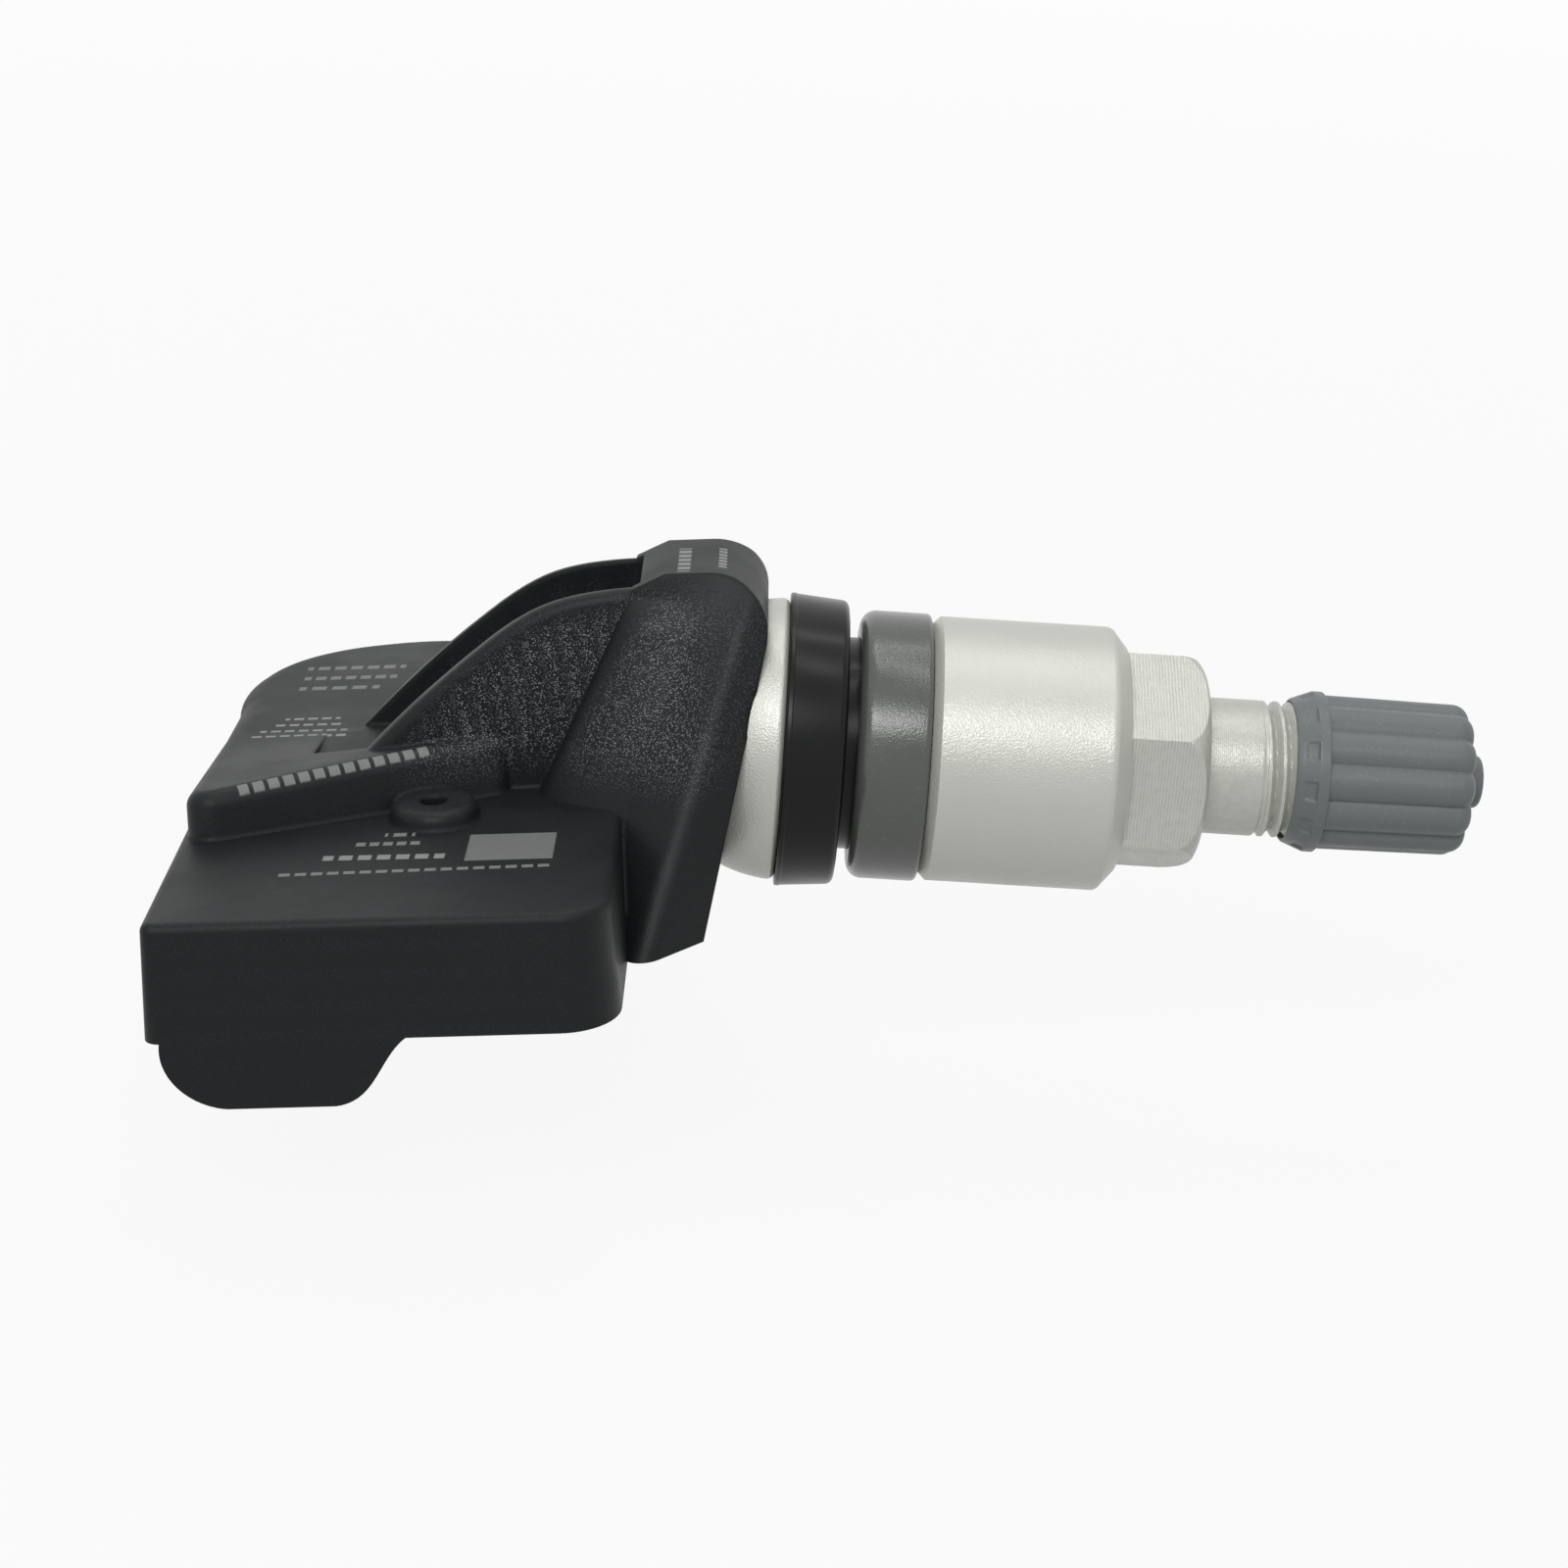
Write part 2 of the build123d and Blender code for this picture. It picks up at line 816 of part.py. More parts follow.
# housing shell
slot_low = ball.Z - slot_drop
slot_high = ball.Z + slot_rise
with BuildPart() as housing_shell:
    add(wing.part)
    add(lobe.part)
    add(can.part)
    add(plateau.part)
    add(spine.part)
    add(head.part)
    add(port.part)
    add(trough.part, mode=Mode.SUBTRACT)
    # ball socket and bolt slot
    with Locations((ball_x, 0, 0)):
        Sphere(ball_r + seat_gap, mode=Mode.SUBTRACT)
    with BuildSketch(across(ball.X - wall_r - slot_lead)):
        with Locations((0, (slot_low + slot_high) / 2)):
            SlotCenterToCenter(slot_high - slot_low, 2 * slot_half, rotation=90)
    extrude(amount=slot_length, mode=Mode.SUBTRACT)
    # inside space with a ledge for the cover
    with BuildSketch(level(base_z)):
        add(wing_outline(wall - ledge, inner_corner))
    extrude(amount=cover_thickness, mode=Mode.SUBTRACT)
    with BuildSketch(level(base_z)):
        add(wing_outline(wall, inner_corner))
        with Locations((wing_x, 0)):
            Rectangle(2 * (wing_x - bay_x), 2 * bay_half, mode=Mode.SUBTRACT)
    extrude(amount=ceiling_z - base_z, mode=Mode.SUBTRACT)
    # air hole
    with BuildSketch(level(ceiling_z - 0.5)):
        with Locations((port_x, port_y)):
            Circle(port_hole_r)
    extrude(amount=wing_top + port_height + 1 - ceiling_z, mode=Mode.SUBTRACT)
save(housing_shell.part, "housing_shell")

# base cover with two feet
cover_top = base_z + cover_thickness - slide_gap
board_top = board_bottom + board_thickness
foot_start = tail_x + foot_lead
foot_end = tail_x + foot_length
foot_slope_end = foot_end + foot_slope
with BuildPart() as base_cover:
    with BuildSketch(side(0)):
        with BuildLine():
            Spline(
                (tail_x + foot_tail, base_z),
                (foot_start - 0.7 * foot_lead, base_z + 0.6 * (foot_z - base_z)),
                (foot_start - 0.47 * foot_lead, base_z + 0.86 * (foot_z - base_z)),
                (foot_start, foot_z),
            )
            Line((foot_start, foot_z), (foot_end, foot_z))
            Spline(
                (foot_end, foot_z),
                (foot_end + 0.4 * foot_slope, base_z + 0.8 * (foot_z - base_z)),
                (foot_end + 0.74 * foot_slope, base_z + 0.3 * (foot_z - base_z)),
                (foot_slope_end, base_z),
            )
            Line((foot_slope_end, base_z), (tail_x + foot_tail, base_z))
        make_face()
    extrude(amount=half_width, both=True)
    with BuildSketch(level(foot_z)):
        add(wing_outline(0, small_corner))
        Rectangle(-3 * tail_x, 2 * foot_inner_y, mode=Mode.SUBTRACT)
    extrude(amount=base_z - foot_z, mode=Mode.INTERSECT)
    with BuildSketch(level(base_z)):
        add(wing_outline(wall - ledge + slide_gap, inner_corner))
    extrude(amount=cover_top - base_z)
    # posts under the board
    with BuildSketch(level(cover_top)):
        with Locations(
            (tail_x + post_inset, post_inset - half_width),
            (wing_x - post_inset, post_inset - half_width),
            (tail_x + post_inset, 0),
            (bay_x - 2 * post_r, 0),
        ):
            Circle(post_r)
    extrude(amount=board_bottom - cover_top)
save(base_cover.part, "base_cover")

# circuit board
board_far_y = cell_y - cell_r - board_cell_gap
with BuildPart() as circuit_board:
    with BuildSketch(level(board_bottom)):
        add(wing_outline(wall + board_gap, inner_corner))
        with Locations((0, board_far_y + half_width)):
            Rectangle(-3 * tail_x, 2 * half_width, mode=Mode.SUBTRACT)
        with Locations((wing_x, 0)):
            Rectangle(2 * (wing_x - bay_x + board_gap), 2 * (bay_half + board_gap), mode=Mode.SUBTRACT)
    extrude(amount=board_thickness)
save(circuit_board.part, "circuit_board")

# battery cell and its two tabs
tab_low = base_z + cover_thickness + slide_gap
cell_low = tab_low + tab_thickness
cell_top = cell_low + cell_height
with BuildPart() as battery_cell:
    with BuildSketch(level(cell_low)):
        with Locations((cell_x, cell_y)):
            Circle(cell_r - cell_lip)
    extrude(amount=cell_step)
    with BuildSketch(level(cell_low + cell_step)):
        with Locations((cell_x, cell_y)):
            Circle(cell_r)
    extrude(amount=cell_height - cell_step)
    fillet(battery_cell.edges().sort_by(height)[-1], cell_round)
save(battery_cell.part, "battery_cell")

tab_root = board_far_y - tab_inset
with BuildPart() as battery_tab_top:
    with BuildSketch(side(tab_root)):
        with Locations((cell_x, cell_top + tab_thickness / 2)):
            Rectangle(tab_width, tab_thickness)
    extrude(amount=tab_root - cell_y)
    with BuildSketch(level(board_top)):
        with Locations((cell_x, tab_root + tab_thickness / 2)):
            Rectangle(tab_width, tab_thickness)
    extrude(amount=cell_top - board_top)
save(battery_tab_top.part, "battery_tab_top")

with BuildPart() as battery_tab_bottom:
    with BuildSketch(level(tab_low)):
        with Locations((cell_x - tab_offset, (cell_y + tab_root) / 2)):
            Rectangle(tab_width, cell_y - tab_root)
    extrude(amount=tab_thickness)
    with BuildSketch(level(tab_low)):
        with Locations((cell_x - tab_offset, tab_root + tab_thickness / 2)):
            Rectangle(tab_width, tab_thickness)
    extrude(amount=board_bottom - tab_low)
save(battery_tab_bottom.part, "battery_tab_bottom")

# parts on the board
sensor_top = board_top + sensor_height
with BuildPart() as pressure_sensor:
    with BuildSketch(level(board_top)):
        with Locations((port_x, port_y)):
            Rectangle(sensor_side, sensor_side)
    extrude(amount=sensor_height)
    with BuildSketch(level(sensor_top)):
        with Locations((port_x, port_y)):
            Circle(sensor_hole_r)
    extrude(amount=-sensor_hole_depth, mode=Mode.SUBTRACT)
save(pressure_sensor.part, "pressure_sensor")

with BuildPart() as port_seal:
    with BuildSketch(level(sensor_top)):
        with Locations((port_x, port_y)):
            Circle(seal_r)
            Circle(seal_hole_r, mode=Mode.SUBTRACT)
    extrude(amount=ceiling_z - sensor_top)
save(port_seal.part, "port_seal")

chip_x = tail_x + chip_inset_x
chip_y = chip_inset_y - half_width
with BuildPart() as radio_chip:
    with BuildSketch(level(board_top)):
        with Locations((chip_x, chip_y)):
            Rectangle(chip_side, chip_side)
    extrude(amount=chip_height)
save(radio_chip.part, "radio_chip")

with BuildPart() as crystal_can:
    with BuildSketch(level(board_top)):
        with Locations((chip_x, chip_y + crystal_shift)):
            RectangleRounded(crystal_length, crystal_width, crystal_width / 4)
    extrude(amount=crystal_height)
save(crystal_can.part, "crystal_can")

coil_x = wing_x - coil_inset
coil_low = board_top + coil_lift
coil_end_y = (coil_length - coil_end_length) / 2
with BuildPart() as coil_core:
    with BuildSketch(level(coil_low)):
        with Locations((coil_x, chip_y)):
            Rectangle(coil_side, coil_length)
    extrude(amount=coil_height)
    with BuildSketch(level(board_top)):
        with Locations((coil_x, chip_y - coil_end_y), (coil_x, chip_y + coil_end_y)):
            Rectangle(coil_end_width, coil_end_length)
    extrude(amount=coil_height + 2 * coil_lift)
save(coil_core.part, "coil_core")

with BuildPart() as coil_winding:
    with BuildSketch(across(coil_x)):
        with Locations((chip_y, coil_low + coil_height / 2)):
            Rectangle(winding_length, coil_height + 2 * winding_build)
    extrude(amount=coil_side / 2 + winding_build, both=True)
    with BuildSketch(level(coil_low)):
        with Locations((coil_x, chip_y)):
            Rectangle(coil_side, coil_length)
    extrude(amount=coil_height, mode=Mode.SUBTRACT)
save(coil_winding.part, "coil_winding")

aerial_x = tail_x + aerial_inset
aerial_y = wall + aerial_gap - half_width
with BuildPart() as antenna_loop:
    with BuildSketch(side(aerial_y)):
        with Locations((aerial_x, board_top + aerial_height / 2)):
            Rectangle(aerial_length, aerial_height)
        with Locations((aerial_x, board_top + (aerial_height - aerial_strip) / 2)):
            Rectangle(aerial_length - 2 * aerial_strip, aerial_height - aerial_strip, mode=Mode.SUBTRACT)
    extrude(amount=aerial_width / 2, both=True)
save(antenna_loop.part, "antenna_loop")

capacitor_x = chip_x + chip_side / 2 + capacitor_gap
sensor_side_y = port_y + sensor_side / 2 + capacitor_gap
with BuildPart() as board_capacitors:
    with BuildSketch(level(board_top)):
        with Locations(
            (capacitor_x, chip_y - capacitor_gap),
            (capacitor_x, chip_y),
            (port_x - capacitor_gap, sensor_side_y),
            (port_x - 2 * capacitor_gap, sensor_side_y),
            (chip_x - capacitor_gap, chip_y + crystal_shift + capacitor_gap),
        ):
            Rectangle(capacitor_length, capacitor_width)
    extrude(amount=capacitor_height)
save(board_capacitors.part, "board_capacitors")
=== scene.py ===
import json
from math import cos, radians, sin, tau

import bmesh
import bpy
import numpy as np
from mathutils import Matrix, Vector


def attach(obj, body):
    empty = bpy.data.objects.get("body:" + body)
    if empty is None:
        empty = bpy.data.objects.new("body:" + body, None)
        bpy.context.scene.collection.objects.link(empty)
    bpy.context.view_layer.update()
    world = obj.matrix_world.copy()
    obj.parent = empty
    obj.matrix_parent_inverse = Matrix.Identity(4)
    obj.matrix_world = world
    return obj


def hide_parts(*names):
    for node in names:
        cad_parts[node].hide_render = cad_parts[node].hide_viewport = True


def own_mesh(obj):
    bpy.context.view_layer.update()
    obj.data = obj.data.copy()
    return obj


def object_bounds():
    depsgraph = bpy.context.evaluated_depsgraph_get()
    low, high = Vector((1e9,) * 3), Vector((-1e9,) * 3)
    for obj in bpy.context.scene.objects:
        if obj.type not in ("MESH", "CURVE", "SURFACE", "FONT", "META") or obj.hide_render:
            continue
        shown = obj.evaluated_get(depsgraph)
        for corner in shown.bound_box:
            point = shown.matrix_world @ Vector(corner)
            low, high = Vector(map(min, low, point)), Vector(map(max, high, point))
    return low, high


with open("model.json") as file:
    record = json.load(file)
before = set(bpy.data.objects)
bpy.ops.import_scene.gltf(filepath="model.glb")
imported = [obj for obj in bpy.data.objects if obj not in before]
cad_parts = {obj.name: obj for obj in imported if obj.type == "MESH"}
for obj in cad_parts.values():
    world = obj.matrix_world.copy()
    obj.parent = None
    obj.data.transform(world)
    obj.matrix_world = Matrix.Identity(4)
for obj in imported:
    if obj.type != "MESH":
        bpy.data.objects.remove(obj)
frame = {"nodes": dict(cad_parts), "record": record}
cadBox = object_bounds()
mm = 0.001

# small node helpers


def mathNode(nodes, links, operation, *values):
    # one sum on sockets or plain numbers
    node = nodes.new("ShaderNodeMath")
    node.operation = operation
    for slot, value in enumerate(values):
        if isinstance(value, (int, float)):
            node.inputs[slot].default_value = value
        else:
            links.new(value, node.inputs[slot])
    return node.outputs[0]


def rampNode(nodes, links, value, low, high, start=0.0, end=1.0, way="SMOOTHSTEP"):
    # value between low and high, eased to start and end and held there
    node = nodes.new("ShaderNodeMapRange")
    node.interpolation_type = way
    entries = {"Value": value, "From Min": low, "From Max": high, "To Min": start, "To Max": end}
    for label, entry in entries.items():
        if isinstance(entry, (int, float)):
            node.inputs[label].default_value = entry
        else:
            links.new(entry, node.inputs[label])
    return node.outputs[0]


# stage: camera at the photo's angle, pale floor, soft light

cameraSet = {
    "lens": 74.25,          # mm
    "sensor": 36,           # mm across
    "clipStart": 0.01,      # m
    "elevation": 20,        # degrees above the valve
    "valveFall": 3.75,      # degrees the valve points down to the right
    "distance": 182.3,      # mm from the middle of the picture
    "rise": 2.541,          # mm that the picture's middle lies below the valve
    "originShift": 3.177,   # mm along the valve to the part's origin
}
lightSet = {
    "world": 0.3,           # strength of the light from all round
    "floorGlow": 0.92,      # share of plain white in the floor under the part
    "floorTone": 0.48,      # grey of the rest, which takes the shadow
    "floorDrop": 8.2,       # mm below the feet, so the housing clears it when it tilts
    "floorHalf": 2.0,       # m from the middle to a side
    "fadeStart": 0.05,      # m from the part to where the floor starts to pale
    "fadeEnd": 0.9,         # m from the part to where it is as white as the background
}
lampSet = {
    # place in m, width and height in m, power in W
    "frontBox": ((-0.08, -0.42, 0.36), (0.34, 0.16), 1.65),
    "topStrip": ((0.02, 0.02, 0.55), (0.5, 0.05), 0.5),
    "backStrip": ((0.02, 0.2, 0.52), (0.5, 0.04), 0.4),
}


def addCamera():
    # camera axes in the upright room, then turned into the part's frame by the valve's fall
    up = Vector((0, sin(radians(cameraSet["elevation"])), cos(radians(cameraSet["elevation"]))))
    look = Vector((0, cos(radians(cameraSet["elevation"])), -sin(radians(cameraSet["elevation"]))))
    place = -cameraSet["rise"] * up - cameraSet["distance"] * look
    fall = Matrix.Rotation(radians(cameraSet["valveFall"]), 3, "Y")
    origin = cameraSet["originShift"] * (fall @ Vector((1, 0, 0)))
    toPart = fall.transposed()
    axes = Matrix((Vector((1, 0, 0)), up, -look)).transposed()
    data = bpy.data.cameras.new("camera")
    data.sensor_width = cameraSet["sensor"]
    data.lens = cameraSet["lens"]
    data.clip_start = cameraSet["clipStart"]
    camera = bpy.data.objects.new("camera", data)
    camera.matrix_world = Matrix.Translation(toPart @ (place - origin) * mm) @ (toPart @ axes).to_4x4()
    bpy.context.scene.collection.objects.link(camera)
    bpy.context.scene.camera = camera


def addLamp(name, place, size, power):
    # soft box aimed at the middle of the part, its long side along the valve
    data = bpy.data.lights.new(name, "AREA")
    data.shape = "RECTANGLE"
    data.size, data.size_y = size
    data.energy = power
    lamp = bpy.data.objects.new(name, data)
    lamp.location = place
    lamp.rotation_euler = (-Vector(place)).to_track_quat("-Z", "Y").to_euler()
    bpy.context.scene.collection.objects.link(lamp)


def whiteForViewers(nodes, links):
    # 1 for rays that show the background: camera, glossy and transmission rays
    path = nodes.new("ShaderNodeLightPath")
    direct = mathNode(nodes, links, "MAXIMUM", path.outputs["Is Camera Ray"], path.outputs["Is Glossy Ray"])
    return mathNode(nodes, links, "MAXIMUM", direct, path.outputs["Is Transmission Ray"])


def addWorld():
    world = bpy.data.worlds.new("studio")
    bpy.context.scene.world = world
    world.use_nodes = True
    nodes, links = world.node_tree.nodes, world.node_tree.links
    nodes.clear()
    seen = nodes.new("ShaderNodeBackground")
    seen.inputs["Color"].default_value = (1, 1, 1, 1)
    light = nodes.new("ShaderNodeBackground")
    light.inputs["Color"].default_value = (1, 1, 1, 1)
    light.inputs["Strength"].default_value = lightSet["world"]
    mix = nodes.new("ShaderNodeMixShader")
    out = nodes.new("ShaderNodeOutputWorld")
    links.new(whiteForViewers(nodes, links), mix.inputs["Fac"])
    links.new(light.outputs[0], mix.inputs[1])
    links.new(seen.outputs[0], mix.inputs[2])
    links.new(mix.outputs[0], out.inputs["Surface"])


def addFloor():
    # flat square well past the view, white to the camera yet dark enough to hold a soft shadow
    half = lightSet["floorHalf"]
    low = cadBox[0][2] - lightSet["floorDrop"] * mm
    mesh = bpy.data.meshes.new("floor")
    mesh.from_pydata([(-half, -half, low), (half, -half, low), (half, half, low), (-half, half, low)], [],
                     [(0, 1, 2, 3)])
    floor = bpy.data.objects.new("floor", mesh)
    bpy.context.scene.collection.objects.link(floor)
    material = bpy.data.materials.new("paleFloor")
    material.use_nodes = True
    nodes, links = material.node_tree.nodes, material.node_tree.links
    nodes.clear()
    matt = nodes.new("ShaderNodeBsdfDiffuse")
    matt.inputs["Color"].default_value = (*[lightSet["floorTone"]] * 3, 1)
    glow = nodes.new("ShaderNodeEmission")
    mix = nodes.new("ShaderNodeMixShader")
    away = nodes.new("ShaderNodeVectorMath")
    away.operation = "LENGTH"
    links.new(nodes.new("ShaderNodeTexCoord").outputs["Object"], away.inputs[0])
    fade = rampNode(nodes, links, away.outputs["Value"], lightSet["fadeStart"], lightSet["fadeEnd"],
                    lightSet["floorGlow"], 1.0, "LINEAR")
    out = nodes.new("ShaderNodeOutputMaterial")
    links.new(mathNode(nodes, links, "MULTIPLY", whiteForViewers(nodes, links), fade), mix.inputs["Fac"])
    links.new(matt.outputs[0], mix.inputs[1])
    links.new(glow.outputs[0], mix.inputs[2])
    links.new(mix.outputs[0], out.inputs["Surface"])
    floor.data.materials.append(material)


addCamera()
addWorld()
addFloor()
for lampName, (lampPlace, lampSize, lampPower) in lampSet.items():
    addLamp(lampName, lampPlace, lampSize, lampPower)
bpy.context.scene.view_settings.view_transform = "Standard"
print("stage ready")

# shader node groups

grainSet = {"detail": 2.0, "roughness": 0.6, "patchDetail": 3.0}
patchSpan = (0.3, 0.7)                          # slow patches between these go from smooth to rough
glintSet = {"core": 0.15, "rim": 0.5}           # spot of one painted glint, as shares of its cell
lineSet = {
    "driftScale": 900.0, "driftDetail": 2.0,    # noise that bends the tool lines
    "faintScale": 2200.0, "faintDetail": 1.0,   # noise that breaks them up
}
barSet = {"edge": 0.05, "dashEnd": 0.62, "gapStart": 0.78}      # mm of soft edge, and shares of a dash step
housingPlace = {"datum": -2.0, "lean": 5.5}     # mm along the valve to its base, degrees of lean


def newGroup(name, inputs, outputs):
    # empty group with named sockets, each given as name, kind and start value
    group = bpy.data.node_groups.new(name, "ShaderNodeTree")
    for label, kind, value in inputs:
        socket = group.interface.new_socket(name=label, in_out="INPUT", socket_type="NodeSocket" + kind)
        if value is not None:
            socket.default_value = value
    for label, kind in outputs:
        group.interface.new_socket(name=label, in_out="OUTPUT", socket_type="NodeSocket" + kind)
    return group, group.nodes.new("NodeGroupInput"), group.nodes.new("NodeGroupOutput")


def noiseNode(nodes, links, vector, scale, detail, roughness=0.5):
    noise = nodes.new("ShaderNodeTexNoise")
    noise.inputs["Detail"].default_value = detail
    noise.inputs["Roughness"].default_value = roughness
    if isinstance(scale, (int, float)):
        noise.inputs["Scale"].default_value = scale
    else:
        links.new(scale, noise.inputs["Scale"])
    links.new(vector, noise.inputs["Vector"])
    return noise.outputs["Fac"]


def objectPlace(nodes):
    return nodes.new("ShaderNodeTexCoord").outputs["Object"]


def makeGrainGroup():
    # fine moulded or blasted grain as height, and a slow mask for patchy colour
    group, start, end = newGroup(
        "fineGrain", [("Scale", "Float", 9000.0), ("Patch Scale", "Float", 180.0)],
        [("Height", "Float"), ("Patch", "Float")])
    nodes, links = group.nodes, group.links
    place = objectPlace(nodes)
    links.new(noiseNode(nodes, links, place, start.outputs["Scale"], grainSet["detail"],
                        grainSet["roughness"]), end.inputs["Height"])
    links.new(noiseNode(nodes, links, place, start.outputs["Patch Scale"], grainSet["patchDetail"]),
              end.inputs["Patch"])
    return group


def makeGlintGroup():
    # painted glints: round bright spots in a few cells of a random cell pattern
    group, start, end = newGroup(
        "paintedGlints", [("Scale", "Float", 6000.0), ("Share", "Float", 0.2)], [("Glint", "Float")])
    nodes, links = group.nodes, group.links
    cells = nodes.new("ShaderNodeTexVoronoi")
    links.new(objectPlace(nodes), cells.inputs["Vector"])
    links.new(start.outputs["Scale"], cells.inputs["Scale"])
    parts = nodes.new("ShaderNodeSeparateColor")
    links.new(cells.outputs["Color"], parts.inputs["Color"])
    chosen = mathNode(nodes, links, "LESS_THAN", parts.outputs["Red"], start.outputs["Share"])
    spot = rampNode(nodes, links, cells.outputs["Distance"], glintSet["core"], glintSet["rim"], 1.0, 0.0)
    lit = mathNode(nodes, links, "MULTIPLY", chosen, spot)
    links.new(mathNode(nodes, links, "MULTIPLY", lit, parts.outputs["Green"]), end.inputs["Glint"])
    return group


def makeLinesGroup():
    # fine tool marks across one axis: a wave along the valve, broken up by slow noise
    group, start, end = newGroup(
        "toolLines", [("Spacing", "Float", 0.17), ("Waver", "Float", 0.4)],
        [("Height", "Float"), ("Tone", "Float")])
    nodes, links = group.nodes, group.links
    place = objectPlace(nodes)
    parts = nodes.new("ShaderNodeSeparateXYZ")
    links.new(place, parts.inputs[0])
    millimetres = mathNode(nodes, links, "DIVIDE", parts.outputs["X"], mm)
    turns = mathNode(nodes, links, "DIVIDE", millimetres, start.outputs["Spacing"])
    bend = noiseNode(nodes, links, place, lineSet["driftScale"], lineSet["driftDetail"])
    drift = mathNode(nodes, links, "MULTIPLY", bend, start.outputs["Waver"])
    phase = mathNode(nodes, links, "MULTIPLY", mathNode(nodes, links, "ADD", turns, drift), tau)
    wave = mathNode(nodes, links, "SINE", phase)
    height = mathNode(nodes, links, "MULTIPLY_ADD", wave, 0.5, 0.5)
    links.new(height, end.inputs["Height"])
    faint = noiseNode(nodes, links, place, lineSet["faintScale"], lineSet["faintDetail"])
    links.new(mathNode(nodes, links, "MULTIPLY", height, faint), end.inputs["Tone"])
    return group


def makeBodyPlaceGroup():
    # place on the housing in mm, along its own base, which leans against the valve
    group, start, end = newGroup("bodyPlace", [], [("Place", "Vector")])
    nodes, links = group.nodes, group.links
    lean = nodes.new("ShaderNodeMapping")
    lean.vector_type = "TEXTURE"
    lean.inputs["Location"].default_value = (housingPlace["datum"] * mm, 0, 0)
    lean.inputs["Rotation"].default_value = (0, radians(-housingPlace["lean"]), 0)
    lean.inputs["Scale"].default_value = (mm, mm, mm)
    links.new(objectPlace(nodes), lean.inputs["Vector"])
    links.new(lean.outputs[0], end.inputs["Place"])
    return group


def makeBarGroup():
    # plain printed bar: a rectangle about the middle with a soft edge, cut into dashes
    group, start, end = newGroup(
        "printBar", [("Place", "Vector", None), ("Half Length", "Float", 1.0), ("Half Width", "Float", 0.3),
                     ("Dash", "Float", 0.4), ("Tone", "Float", 1.0)], [("Mask", "Float")])
    nodes, links = group.nodes, group.links
    parts = nodes.new("ShaderNodeSeparateXYZ")
    links.new(start.outputs["Place"], parts.inputs[0])
    sides = []
    for axis, half in (("X", "Half Length"), ("Y", "Half Width")):
        room = mathNode(nodes, links, "SUBTRACT", start.outputs[half],
                        mathNode(nodes, links, "ABSOLUTE", parts.outputs[axis]))
        sides.append(rampNode(nodes, links, room, -barSet["edge"], barSet["edge"]))
    along = mathNode(nodes, links, "PINGPONG", parts.outputs["X"], start.outputs["Dash"])
    step = mathNode(nodes, links, "DIVIDE", along, start.outputs["Dash"])
    dash = rampNode(nodes, links, step, barSet["dashEnd"], barSet["gapStart"], 1.0, 0.0)
    block = mathNode(nodes, links, "MULTIPLY", *sides)
    inked = mathNode(nodes, links, "MULTIPLY", block, dash)
    links.new(mathNode(nodes, links, "MULTIPLY", inked, start.outputs["Tone"]), end.inputs["Mask"])
    return group


groups = {
    "grain": makeGrainGroup(),
    "specks": makeGlintGroup(),
    "lines": makeLinesGroup(),
    "bodyPlace": makeBodyPlaceGroup(),
    "bar": makeBarGroup(),
}
print("node groups ready:", len(groups))

# material helpers


def useGroup(nodes, name, **values):
    # place a shared group; value names are its sockets without spaces
    node = nodes.new("ShaderNodeGroup")
    node.node_tree = groups[name]
    for socket in node.inputs:
        key = socket.name.replace(" ", "")
        if key in values:
            socket.default_value = values[key]
    return node


def mixColour(nodes, links, factor, first, second):
    mix = nodes.new("ShaderNodeMix")
    mix.data_type = "RGBA"
    links.new(factor, mix.inputs["Factor"])
    for label, colour in (("A", first), ("B", second)):
        if isinstance(colour, tuple):
            mix.inputs[label].default_value = (*colour, 1)
        else:
            links.new(colour, mix.inputs[label])
    return mix.outputs["Result"]


def multiplyAll(nodes, links, first, *others):
    # product of several masks
    for other in others:
        first = mathNode(nodes, links, "MULTIPLY", first, other)
    return first


def patchGloss(nodes, links, grain, smooth, rough):
    # roughness that drifts with the slow patches of the grain
    return rampNode(nodes, links, grain.outputs["Patch"], *patchSpan, smooth, rough)


def addBump(nodes, links, shader, height, distance, under=None):
    # relief of so many mm, on top of another normal where one is given
    bump = nodes.new("ShaderNodeBump")
    bump.inputs["Distance"].default_value = distance * mm
    bump.inputs["Strength"].default_value = 1.0
    links.new(height, bump.inputs["Height"])
    if under is not None:
        links.new(under, bump.inputs["Normal"])
    links.new(bump.outputs["Normal"], shader.inputs["Normal"])
    return bump.outputs["Normal"]


def startMaterial(name, metallic, ior):
    material = bpy.data.materials.new(name)
    material.use_nodes = True
    nodes, links = material.node_tree.nodes, material.node_tree.links
    shader = nodes["Principled BSDF"]
    shader.inputs["Metallic"].default_value = metallic
    shader.inputs["IOR"].default_value = ior
    return material, nodes, links, shader


# plain finishes: grain, patchy colour and patchy gloss

